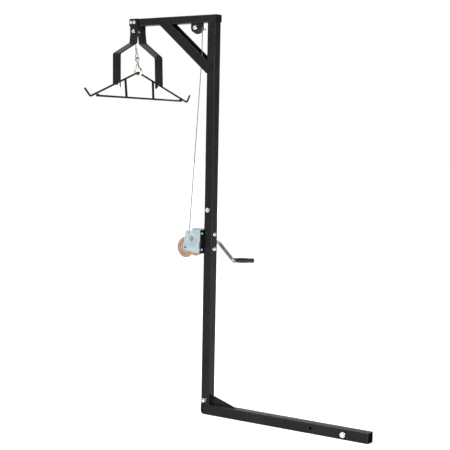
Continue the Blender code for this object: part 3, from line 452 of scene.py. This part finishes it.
def resample(points, step):
    """Points evenly spaced along a polyline."""
    out, carry = [Vector(points[0])], 0.0
    for a, b in zip(points, points[1:]):
        a, b = Vector(a), Vector(b)
        length = (b - a).length
        if length < 1e-9:
            continue
        at = step - carry
        while at <= length:
            out.append(a.lerp(b, at / length))
            at += step
        carry = length - (at - step)
    if (out[-1] - Vector(points[-1])).length > step * 0.3:
        out.append(Vector(points[-1]))
    return out


def rope_groups(points, radius=CABLE_R, lay=CABLE_LAY, step=None, sides=6):
    """Helical strands round a core, all following the path; one turn per lay."""
    path = resample(points, step or lay / 9)
    frames, travelled = travelling_frames(path), [0.0]
    for before, after in zip(path, path[1:]):
        travelled.append(travelled[-1] + (after - before).length)
    groups, strand_r = [], radius * 0.36
    for k in range(STRANDS):
        line = []
        for (point, u, v), distance in zip(frames, travelled):
            angle = 2 * math.pi * (k / STRANDS + distance / lay)
            line.append(point + (u * math.cos(angle) + v * math.sin(angle)) * (radius - strand_r))
        groups.append(tube_along(line, strand_r, sides))
    groups.append(tube_along(path, radius * 0.5, 6))
    return groups


def arc(centre, radius, start, end, steps):
    return [centre + in_plane(start + (end - start) * i / steps) * radius for i in range(steps + 1)]


def curve_through(points, spacing):
    """A smooth curve through the points."""
    points = [Vector(p) for p in points]
    padded = [2 * points[0] - points[1]] + points + [2 * points[-1] - points[-2]]
    path = []
    for a, b, c, d in zip(padded, padded[1:], padded[2:], padded[3:]):
        steps = max(1, round((c - b).length / spacing))
        for i in range(steps):
            t = i / steps
            path.append(0.5 * (2 * b + (c - a) * t + (2 * a - 5 * b + 4 * c - d) * t * t
                               + (3 * b - a - 3 * c + d) * t ** 3))
    return path + [points[-1]]


def round_corners(points, radius, steps=10):
    """The polyline with each inner corner bent to a radius."""
    path = [points[0]]
    for before, corner, after in zip(points, points[1:], points[2:]):
        u, v = (before - corner).normalized(), (after - corner).normalized()
        half = u.angle(v) / 2
        centre = corner + (u + v).normalized() * (radius / math.sin(half))
        first = corner + u * (radius / math.tan(half)) - centre
        last = corner + v * (radius / math.tan(half)) - centre
        path += [centre + first.slerp(last, i / steps, first).normalized() * radius for i in range(steps + 1)]
    return path + [points[-1]]


def bead(name, points, radius, body):
    """A weld bead: a tube whose surface rises and falls with each deposit, thin at its ends."""
    path = resample(points, radius * 0.5)
    radii = []
    for i in range(len(path)):
        wave = abs(math.sin(i * 0.9 + 0.4 * math.sin(i * 0.37)))
        radii.append(radius * (0.78 + 0.22 * wave) * (0.55 if i in (0, len(path) - 1) else 1.0))
    place(name, rings_mesh(name, [tube_along(path, radii, 10)]), "powder_coat", body)


# Frame, arm and yoke -----------------------------------------------------------------
def coated_frame():
    """The powder coated tubes, plates and plastic caps."""
    for node in ("base_tube", "base_socket", "mast_lower_tube", "mast_upper_tube", "arm_tube"):
        refined(node, "powder_coat", 0.0006, 3, 0.0034)
    refined("arm_brace", "powder_coat", 0.0005, 3, 0.0024)
    for node in ("base_gusset", "yoke_bar_near", "yoke_bar_far", "pulley_plate_near",
                 "pulley_plate_far", "winch_mount_plate"):
        refined(node, "powder_coat", 0.0007, 2)
    for node in ("base_end_cap", "arm_rear_cap", "arm_nose_cap"):
        refined(node, "black_plastic", 0.0006, 2)
    for node in ("gambrel_strut_near", "gambrel_strut_far"):
        refined(node, "powder_coat", 0.0006, 2)
    for node in ("swivel_spigot", "joint_sleeve"):
        frame["nodes"][node].data.materials[0] = MATERIALS["steel"]


def welds():
    """Beads along the gusset, the foot of the arm, the brace and the pulley plates."""
    for sign, tag in ((-1, "near"), (1, "far")):
        gusset, arm, brace, pulley = (sign * half for half in (0.0034, 0.0242, 0.0265, 0.0205))
        bead(f"weld_gusset_foot_{tag}", [(0.030, gusset, BASE_TOP), (0.168, gusset, BASE_TOP)], 0.0022, "base")
        bead(f"weld_gusset_post_{tag}", [(MAST_FACE, gusset, 0.055), (MAST_FACE, gusset, 0.096)], 0.0022, "base")
        bead(f"weld_arm_side_{tag}", [(-0.0225, arm, 1.9582), (0.0225, arm, 1.9582)], 0.0011, "mast")
        bead(f"weld_brace_foot_{tag}",
             [(-0.0240, brace, 1.7086), (0.0055, brace, 1.7440), (-0.0235, brace, 1.7705)], 0.0016, "mast")
        bead(f"weld_brace_head_{tag}", [(-0.3225, brace, 1.9600), (-0.2955, brace, 1.9925)], 0.0015, "mast")
        bead(f"weld_pulley_{tag}", [(-0.1245, pulley, ARM_UNDER), (-0.0815, pulley, ARM_UNDER)], 0.0018, "mast")
    for tag, low, high in (("", -0.022, -0.005), ("_far", 0.005, 0.022)):
        bead(f"weld_socket_front{tag}", [(MAST_FACE, low, BASE_TOP), (MAST_FACE, high, BASE_TOP)], 0.0020, "base")
    bead("weld_arm_under", [(-ARM_FACE, -0.020, ARM_UNDER), (-ARM_FACE, 0.020, ARM_UNDER)], 0.0024, "mast")


def fasteners():
    """Every bolt as (node, seat of its head, axis, length, shank radius, flats, nut's seat)."""
    fastener("hitch_bolt", (0.795, -BASE_FACE - 0.0025, 0.0224), Y, 0.072, 0.008, 0.021, 2 * BASE_FACE + 0.005)
    fastener("joint_bolt", (-0.004, -ARM_FACE, 1.030), Y, 0.096, 0.005, 0.018, 2 * ARM_FACE)
    fastener("rear_axle_bolt", (REAR.x, -ARM_FACE, REAR.z), Y, 0.090, 0.005, 0.017, 2 * ARM_FACE)
    half_arm, bar, wall = 0.024, 0.006, 0.0025
    outside = half_arm + SNUG + bar + SNUG
    for node, x, z in (("yoke_bolt_axle", FRONT.x, FRONT.z), ("yoke_bolt_lower", YOKE_LOW_X, YOKE_LOW_Z)):
        fastener(node, (x, -outside, z), Y, 0.074, 0.004, 0.014, 2 * outside)
    inside = outside - half_arm + wall + SNUG
    for tag, side, x in (("near", -1, -0.5068), ("far", 1, -0.5047)):
        fastener(f"yoke_bolt_front_{tag}", (x, side * outside, FRONT.z), Y * -side, 0.0175, 0.004, 0.013, inside)
    face, mount_plate, back_plate = 0.0244 + SNUG, 0.005, 0.003
    plate_in = -MAST_FACE - mount_plate
    for node, z in (("mast_bolt_upper", 0.909), ("mast_bolt_lower", 0.836)):
        fastener(node, (face, 0, z), -X, 0.070, 0.005, 0.016, face - plate_in + SNUG)
    back_out = plate_in - SNUG - back_plate
    for node, z in (("winch_bolt_upper", 0.913), ("winch_bolt_lower", 0.832)):
        fastener(node, (-MAST_FACE + SNUG, -0.038, z), -X, 0.020, 0.004, 0.0115,
                 -MAST_FACE + SNUG - back_out + SNUG, 0.010)
    for tag, side in (("near", -1), ("far", 1)):
        spacer = turned_rings(Vector((YOKE_LOW_X, side * 0.0236, YOKE_LOW_Z)), Y * -side,
                              [(0, 0.0068), (0.0005, 0.0072), (0.0150, 0.0072), (0.0155, 0.0068)], 32, 0.0045)
        place(f"yoke_spacer_{tag}", rings_mesh("spacer", [spacer]), "zinc", "mast")
    keeper = turned_rings(Vector((-0.0860, -0.0203, 1.9215)), Y,
                          [(0, 0.0022), (0.0003, 0.0025), (0.0403, 0.0025), (0.0406, 0.0022)], 20)
    place("cable_keeper", rings_mesh("keeper", [keeper]), "bolt_zinc", "mast")


def pin_and_clip():
    """The mast pin with its rounded nose and collar, and the spring clip through it."""
    pin = turned_rings(Vector((0, -0.041, PIN_Z)), Y,
                       [(0, 0.0050), (0.0012, 0.0070), (0.0025, 0.0079), (0.0657, 0.0079), (0.0658, 0.0120),
                        (0.0664, 0.0125), (0.0728, 0.0125), (0.0742, 0.0115), (0.0752, 0.0090)], 36)
    place("mast_pin_detail", rings_mesh("pin", [pin]), "bolt_zinc", "base", ("mast_pin",))
    clip_y, eye_r = -0.033, 0.0058
    leg = [(x, clip_y, z) for x, z in ((0.018, 0.0840), (0.010, 0.0803), (0, 0.0803), (-0.012, 0.0803),
                                       (-0.026, 0.0808))]
    eye = arc(Vector((-0.036, clip_y, PIN_Z + eye_r)), eye_r, 80, 270, 18)
    path = [Vector((0.014, clip_y, PIN_Z))] + list(reversed(curve_through(leg, 0.0015)[:-1] + eye))
    clip = rings_mesh("clip", [tube_along(path, 0.00125, 12)])
    place("pin_clip_detail", clip, "bolt_zinc", "base", ("pin_clip",))


# Pulleys, winch and crank --------------------------------------------------------------
def sheave(node, centre, pitch, rim, half_width, hub_half):
    """A grooved wheel with a recessed web, alike on both sides, and its hub."""
    floor, ease = pitch - CABLE_R - SNUG, 0.0006
    web = -half_width + ease
    stations = [(-hub_half, 0.0076), (-hub_half + 0.0004, 0.0080), (-half_width, 0.0080),
                (web, 0.0105), (web, rim - 0.0070), (-half_width, rim - 0.0060), (-half_width, rim - ease),
                (web, rim), (-0.0037, rim), (-0.0026, (rim + floor) / 2), (-0.0017, floor),
                (0, floor - 0.0003)]
    stations += [(-d, r) for d, r in reversed(stations[:-1])]
    wheel = rings_mesh(node, [turned_rings(centre, Y, stations, 56, 0.0052)])
    place(f"{node}_detail", wheel, "nylon", NODE_BODY[node], (node,))


def winch():
    """The winch: its plates, drum, gears, shafts, ratchet and crank nut."""
    for node in ("winch_side_near", "winch_side_far", "winch_back_plate"):
        refined(node, "zinc", 0.0006, 2)
    refined("crank_arm", "crank_zinc", 0.0012, 3)
    for node in ("ratchet_wheel", "pawl"):
        refined(node, "steel", 0.0003, 1)
    for node, material in (("pinion", "steel"), ("drum_gear", "yellow_zinc")):
        frame["nodes"][node].data.materials[0] = MATERIALS[material]
    for node in ("drive_bush_near", "drive_bush_far"):
        refined(node, "brass", 0.0004, 2)
    near, far, sheet = -0.0440, 0.0350, 0.002      # the drum's two cheeks
    rim, small = 0.052, 0.048
    drum = turned_rings(DRUM, Y, [
        (near, rim - 0.0006), (near + 0.0005, rim), (near + 0.0015, rim), (near + sheet, rim - 0.0006),
        (near + sheet, DRUM_CORE), (far, DRUM_CORE), (far, small - 0.0006), (far + 0.0005, small),
        (far + 0.0015, small), (far + sheet, small - 0.0006), (far + sheet, 0.020),
        (far + 0.0016, 0.0185)], 72, 0.0064)
    place("drum_detail", rings_mesh("drum", [drum]), "yellow_zinc", "drum_set", ("drum",))
    # Two thin raised rings on the drum's near cheek, darkened in colour: painted shade in the stamped grooves.
    for tag, reach, half in (("outer", 0.0452, 0.0010), ("inner", 0.0348, 0.0021)):
        line = turned_rings(DRUM + Y * near, -Y, [(-0.0006, reach + half), (0.0002, reach + half * 0.6),
                                                  (0.0002, reach - half * 0.6), (-0.0006, reach - half)], 72,
                            reach - half)
        place(f"drum_stamped_ring_painted_shade_{tag}", rings_mesh("stamping", [line]), "yellow_zinc_painted_shade", "drum_set")
    shaft = turned_rings(DRUM, Y, [(-0.0482, 0.0048), (-0.0474, 0.0059), (0.0498, 0.0059)], 32)
    head = hexagon(DRUM + Y * 0.0498, Y, 0.0057, 0.0094)
    place("drum_shaft_detail", rings_mesh("drum_shaft", [shaft, head]), "dark_steel", "mast", ("drum_shaft",))
    drive = turned_rings(DRIVE, Y, [(-0.0553, 0.0030), (-0.0555, 0.0050), (-0.0547, 0.0062), (0.1085, 0.0063),
                                    (0.1113, 0.0055)], 36)
    place("drive_shaft_detail", rings_mesh("drive_shaft", [drive]), "steel", "crank", ("drive_shaft",))
    nut = [washer(DRIVE + Y * 0.1008, Y, 0.0015, 0.0110, 0.0066),
           hexagon(DRIVE + Y * 0.1023, Y, 0.0070, 0.0093, True)]
    place("crank_nut_detail", rings_mesh("crank_nut", nut), "bolt_zinc", "crank", ("crank_nut",))
    eyelet = turned_rings(Vector((-0.0997, -0.0492, 0.9145)), -Y,
                          [(0, 0.0046), (0.0006, 0.0042), (0.0008, 0.0034)], 28, 0.0020)
    place("winch_side_eyelet", rings_mesh("eyelet", [eyelet]), "black_plastic", "mast")
    pawl = DRIVE + Vector((0.028, 0, 0.0255))
    pin = turned_rings(pawl, Y, [(0.0425, 0.0066), (0.0429, 0.0070), (0.0462, 0.0070), (0.0462, 0.0040),
                                 (0.0615, 0.0040), (0.0615, 0.0064), (0.0632, 0.0068), (0.0640, 0.0060)], 28)
    place("pawl_pin_detail", rings_mesh("pawl_pin", [pin]), "bolt_zinc", "mast", ("pawl_pin",))


def grip_and_stud():
    """The turning grip, fluted and swollen in the middle, on its stud."""
    radial, length = in_plane(CRANK_ANGLE), GRIP_LENGTH
    pivot = DRIVE + radial * CRANK_REACH + Y * 0.125
    along = Y * math.cos(GRIP_TILT) + radial * math.sin(GRIP_TILT)
    stud = [turned_rings(pivot - along * 0.0028, -along,
                         [(0.0060, 0.0060), (0.0056, 0.0072), (0.0046, 0.0084), (0.0004, 0.0085),
                          (0, 0.0080), (0, 0.0040), (-0.012 - length, 0.0040), (-0.012 - length, 0.0062),
                          (-0.0128 - length, 0.0067), (-0.0145 - length, 0.0056)], 32),
            washer(pivot + along * 0.0027, along, 0.0014, 0.0088, 0.0044)]
    place("grip_stud_detail", rings_mesh("grip_stud", stud), "bolt_zinc", "crank", ("grip_stud",))
    stations = [(0, 0.0104), (0.0008, 0.0117), (0.0040, 0.0121), (0.0055, 0.0113)]
    ribs = 25
    for i in range(1, ribs):
        t = i / ribs
        stations.append((0.0055 + t * (length - 0.018), 0.0108 + 0.0027 * math.sin(math.pi * t) ** 1.2
                         + 0.0003 * math.cos(22 * math.pi * t)))
    stations += [(length - 0.0120, 0.0106), (length - 0.0105, 0.0122), (length - 0.0080, 0.0131),
                 (length - 0.0045, 0.0130), (length - 0.0018, 0.0116), (length, 0.0084)]
    grip = turned_rings(pivot + along * 0.0045, along, stations, 40, 0.0044)
    place("grip_detail", rings_mesh("grip", [grip]), "grip_rubber", "grip_tube", ("grip",))


# Cable, hook and gambrel ---------------------------------------------------------------
def cables():
    """The rope from drum to front pulley, the stretch that hangs from the front pulley to the ferrule, and the
    turns on the drum.
    """
    leaving = DRUM.x - WOUND_R - CABLE_R
    start = [Vector((leaving - SNUG, 0.018, DRUM.z + 0.004)), Vector((leaving + 0.0005, 0.0172, DRUM.z + 0.040))]
    brace = Vector((REAR.x + REAR_PITCH, 0, 1.790))
    route = start + [start[1].lerp(brace, i / 12) for i in range(1, 13)] + [Vector((brace.x, 0, 1.86))]
    route += arc(REAR, REAR_PITCH, 0, 92, 20)
    rise = (FRONT.z + FRONT_PITCH) - (REAR.z + REAR_PITCH)
    route += [Vector((REAR.x + (FRONT.x - REAR.x) * t, 0, REAR.z + REAR_PITCH + rise * t))
              for t in (0.25, 0.5, 0.75)]
    route += arc(FRONT, FRONT_PITCH, 88, 180, 16)
    exit_x, exit_z = FRONT.x - FRONT_PITCH, FRONT.z - 0.006
    route.append(Vector((exit_x, 0, exit_z)))
    place("cable_run_strands", rings_mesh("run", rope_groups(route)), "wire_rope", "mast", ("cable_run",),
          ROPE_ANGLE)
    top = FERRULE_TOP + Vector((-0.0017, 0, 0.0003))
    drop = curve_through([(exit_x, 0, exit_z - SNUG), (exit_x - 0.0006, 0, 1.925), (exit_x - 0.0006, 0, 1.886),
                          top + Vector((-0.0009, 0, 0.014)), top], 0.003)
    piece = place("cable_drop_strands", rings_mesh("drop", rope_groups(drop)), "wire_rope", None, (), ROPE_ANGLE)
    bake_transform(piece)
    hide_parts("cable_drop")
    wound_r = CABLE_R * 0.98
    layers = []
    for radius, low, high, phase in ((WOUND_R - CABLE_R, -0.0392, 0.0322, 0.0),
                                     (WOUND_R - 3 * CABLE_R, -0.0376, 0.0306, 1.0)):
        turns = (high - low) / (2 * CABLE_R * 1.015)
        steps, layer = int(turns * 26), []
        for i in range(steps + 1):
            angle = phase + 2 * math.pi * turns * i / steps
            layer.append(DRUM + Y * (low + (high - low) * i / steps)
                         + Vector((math.cos(angle), 0, math.sin(angle))) * radius)
        layers.append(layer)
    inner, outer = DRUM_CORE + 0.0003, WOUND_R - 4 * CABLE_R
    core = turned_rings(DRUM, Y, [(-0.0416, inner), (-0.0416, outer), (0.0346, outer), (0.0346, inner)],
                        40, DRUM_CORE + 0.0002)
    groups = rope_groups(layers[0], wound_r, step=0.0045, sides=5) + [tube_along(layers[1], wound_r, 8), core]
    place("cable_on_drum_strands", rings_mesh("wound", groups), "wire_rope", "drum_set", ("cable_on_drum",),
          ROPE_ANGLE)


def chain():
    """The pressed ferrule, the rope's eye, the snap hook and its latch, all along one line."""
    down = (APEX - FERRULE_TOP).normalized()
    across = Vector((-down.z, 0, down.x))
    rings, sides = [], 28
    for along, radius in ((0, 0.0036), (0.0008, 0.0045), (0.004, 0.0047), (0.006, 0.0044), (0.009, 0.0047),
                          (0.012, 0.0044), (0.015, 0.0047), (0.018, 0.0044), (0.0225, 0.0046), (0.0240, 0.0038)):
        rings.append([FERRULE_TOP + down * along
                      + across * (radius * 1.15 * math.cos(2 * math.pi * k / sides))
                      + Y * (radius * math.sin(2 * math.pi * k / sides)) for k in range(sides)])
    ferrule = rings_mesh("ferrule", [(rings, False, True)])
    place("cable_ferrule_detail", ferrule, "ferrule", "lift", ("cable_ferrule",), angle=50)
    turn = math.radians(80)
    wide = across * math.cos(turn) + Y * math.sin(turn)
    loop_top, loop_length, half = 0.0263, 0.0335, 0.0098
    centre = loop_top + loop_length - half - CABLE_R
    apex = FERRULE_TOP + down * (loop_top - 0.003)
    path = [apex + wide * 0.0012]
    for i in range(41):
        a = math.radians(-32 + 244 * i / 40)
        path.append(FERRULE_TOP + down * (centre + half * math.sin(a)) + wide * (half * math.cos(a)))
    path.append(apex - wide * 0.0012)
    place("cable_loop_strands", rings_mesh("loop", rope_groups(path, lay=0.022)), "wire_rope", "lift",
          ("cable_loop",), ROPE_ANGLE)
    fuller = 0.0006                             # the hook is drawn this much thicker than its solid
    hook = refined("hook_body", "hook_zinc", 0.0004, 2)
    for vertex in hook.data.vertices:
        vertex.co += vertex.normal * fuller
    refined("hook_latch", "hook_zinc", 0.0004, 2)
    twist = math.radians(18)
    out = -across * math.sin(twist) + Y * math.cos(twist)
    rivet = turned_rings(LATCH_PIVOT - out * 0.0052, out,
                         [(0, 0.0014), (0.0006, 0.0021), (0.0098, 0.0021), (0.0104, 0.0014)], 20)
    place("latch_rivet", rings_mesh("rivet", [rivet]), "hook_zinc", "lift")


def on_gambrel(y, z, off=0.0):
    """A point in the gambrel's leaning plane, or off it along X."""
    return Vector((APEX.x + LEAN * (APEX.z - z) + off, y, z))


def rod(node, points, end):
    """A round rod of the gambrel, eased to this share of its radius at both ends."""
    radii = [ROD_R * end] + [ROD_R] * (len(points) - 2) + [ROD_R * end]
    mesh = rings_mesh(node, [tube_along(points, radii, 28)])
    place(f"{node}_detail", mesh, "powder_coat", "lift", (node,), angle=50)


def gambrel():
    """The bent main rod, the cross rod and the weld beads where rods and struts meet."""
    low_half, low_z = HOOK_END
    corners = [on_gambrel(-TIP[0], TIP[1]), on_gambrel(-low_half, low_z), on_gambrel(0, APEX.z + 0.0009),
               on_gambrel(low_half, low_z), on_gambrel(TIP[0], TIP[1])]
    path = round_corners(corners, 0.014)
    near_ends = [path[0].lerp(path[1], 0.02), path[-1].lerp(path[-2], 0.02)]
    rod("gambrel_main_rod", [path[0], near_ends[0]] + path[1:-1] + [near_ends[1], path[-1]], 0.80)
    cross = [on_gambrel(CROSS_HALF * t, CROSS_Z) for t in (-1, -0.997, -0.5, 0, 0.5, 0.997, 1)]
    rod("gambrel_cross_rod", cross, 0.84)
    slope, half_bead = (APEX.z - low_z) / low_half, 0.0065
    for tag, sign, top_y, foot_y in (("near", -1, -0.110, -0.1157), ("far", 1, 0.1138, 0.1031)):
        for letter, side in (("a", -1), ("b", 1)):
            off = side * 0.0026
            foot = [on_gambrel(foot_y + step, CROSS_Z + ROD_R * 0.92, off) for step in (-half_bead, half_bead)]
            bead(f"weld_strut_foot_{tag}_{letter}", foot, 0.0016, "lift")
            top = [on_gambrel(y, APEX.z - slope * abs(y) - ROD_R * 0.98, off)
                   for y in (top_y - half_bead, top_y + half_bead)]
            bead(f"weld_strut_top_{tag}_{letter}", top, 0.0016, "lift")
        for letter, side in (("a", -1), ("b", 1)):
            end = [on_gambrel(sign * (CROSS_HALF - 0.004 - 0.016 * t), CROSS_Z + ROD_R * 1.02 + 0.0026 * t,
                              side * 0.0022) for t in (0, 0.5, 1)]
            bead(f"weld_cross_end_{tag}_{letter}", end, 0.0022, "lift")


# Studio ---------------------------------------------------------------------------------
def pale_floor():
    """A wide plain floor just under the object."""
    surface = Surface("studio_floor", (0.90, 0.90, 0.90), 0.9)
    surface.colour(surface.ramp(surface.noise(0.6, 2.0), ((0.3, (0.89, 0.89, 0.89)), (0.7, (0.91, 0.91, 0.91)))))
    half, z = 60, -0.0015
    bm = bmesh.new()
    bm.faces.new([bm.verts.new((half * sx, half * sy, z)) for sx, sy in ((-1, -1), (1, -1), (1, 1), (-1, 1))])
    mesh = bpy.data.meshes.new("studio_floor")
    bm.to_mesh(mesh)
    bm.free()
    mesh.materials.append(surface.material)
    floor = bpy.data.objects.new("studio_floor", mesh)
    bpy.context.scene.collection.objects.link(floor)


def soft_world():
    """White all round, fading to grey towards +X so that faces turned there read darker."""
    world = bpy.data.worlds.new("studio_world")
    world.use_nodes = True
    tree = world.node_tree
    coords = tree.nodes.new("ShaderNodeTexCoord")
    split = tree.nodes.new("ShaderNodeSeparateXYZ")
    tree.links.new(coords.outputs["Generated"], split.inputs["Vector"])
    fade = tree.nodes.new("ShaderNodeMapRange")
    for name, value in (("From Min", 0.25), ("From Max", 0.50), ("To Min", 1.0), ("To Max", 0.15)):
        fade.inputs[name].default_value = value
    tree.links.new(split.outputs["X"], fade.inputs["Value"])
    background = tree.nodes["Background"]
    background.inputs["Color"].default_value = (1, 1, 1, 1)
    tree.links.new(fade.outputs["Result"], background.inputs["Strength"])
    bpy.context.scene.world = world


def lamps():
    """Soft key and top lights, a tall strip for the corners of the tubes and a broad sun."""
    for name, spot, aim, size, height, energy in (
            ("key", (-1.5, -4.5, 4.0), (0, 0, 1.2), 1.6, None, 110),
            ("top", (-0.5, 1.0, 6.5), (0, 0, 0), 5.0, None, 60),
            ("strip", (3.0, -2.2, 1.3), (0, 0, 1.3), 0.25, 2.6, 240)):
        light = bpy.data.objects.new(name, bpy.data.lights.new(name, "AREA"))
        light.data.energy = energy
        light.data.size = size
        if height:
            light.data.shape = "RECTANGLE"
            light.data.size_y = height
        light.location = spot
        light.rotation_euler = (Vector(aim) - Vector(spot)).to_track_quat("-Z", "Y").to_euler()
        bpy.context.scene.collection.objects.link(light)
    overhead = bpy.data.objects.new("overhead", bpy.data.lights.new("overhead", "SUN"))
    overhead.data.energy = 1.9
    overhead.data.angle = math.radians(24)
    overhead.rotation_euler = (math.radians(18), math.radians(-16), 0)
    bpy.context.scene.collection.objects.link(overhead)


def camera():
    """Stands off to the near right, a little above the winch, looking slightly down."""
    yaw, pitch, roll = (math.radians(a) for a in (35.024, 4.067, 1.064))
    forward = Vector((-math.sin(yaw) * math.cos(pitch), math.cos(yaw) * math.cos(pitch), -math.sin(pitch)))
    right = Vector((math.cos(yaw), math.sin(yaw), 0))
    up = right.cross(forward)
    turned_right = right * math.cos(roll) + up * math.sin(roll)
    turned_up = up * math.cos(roll) - right * math.sin(roll)
    cam = bpy.data.objects.new("camera", bpy.data.cameras.new("camera"))
    cam.data.sensor_width = 36
    cam.data.lens = 92.88
    cam.data.clip_end = 100
    matrix = Matrix((turned_right, turned_up, -forward)).transposed().to_4x4()
    matrix.translation = Vector((3.3822, -4.7013, 1.3682))
    cam.matrix_world = matrix
    bpy.context.scene.collection.objects.link(cam)
    bpy.context.scene.camera = cam


camera()
cables()
coated_frame()
welds()
fasteners()
pin_and_clip()
sheave("rear_sheave", REAR, REAR_PITCH, 0.0297, 0.0065, 0.0198)
sheave("front_sheave", FRONT, FRONT_PITCH, 0.0158, 0.0060, 0.0208)
winch()
grip_and_stud()
chain()
gambrel()
pale_floor()
soft_world()
lamps()
bpy.context.scene.view_settings.view_transform = "Standard"
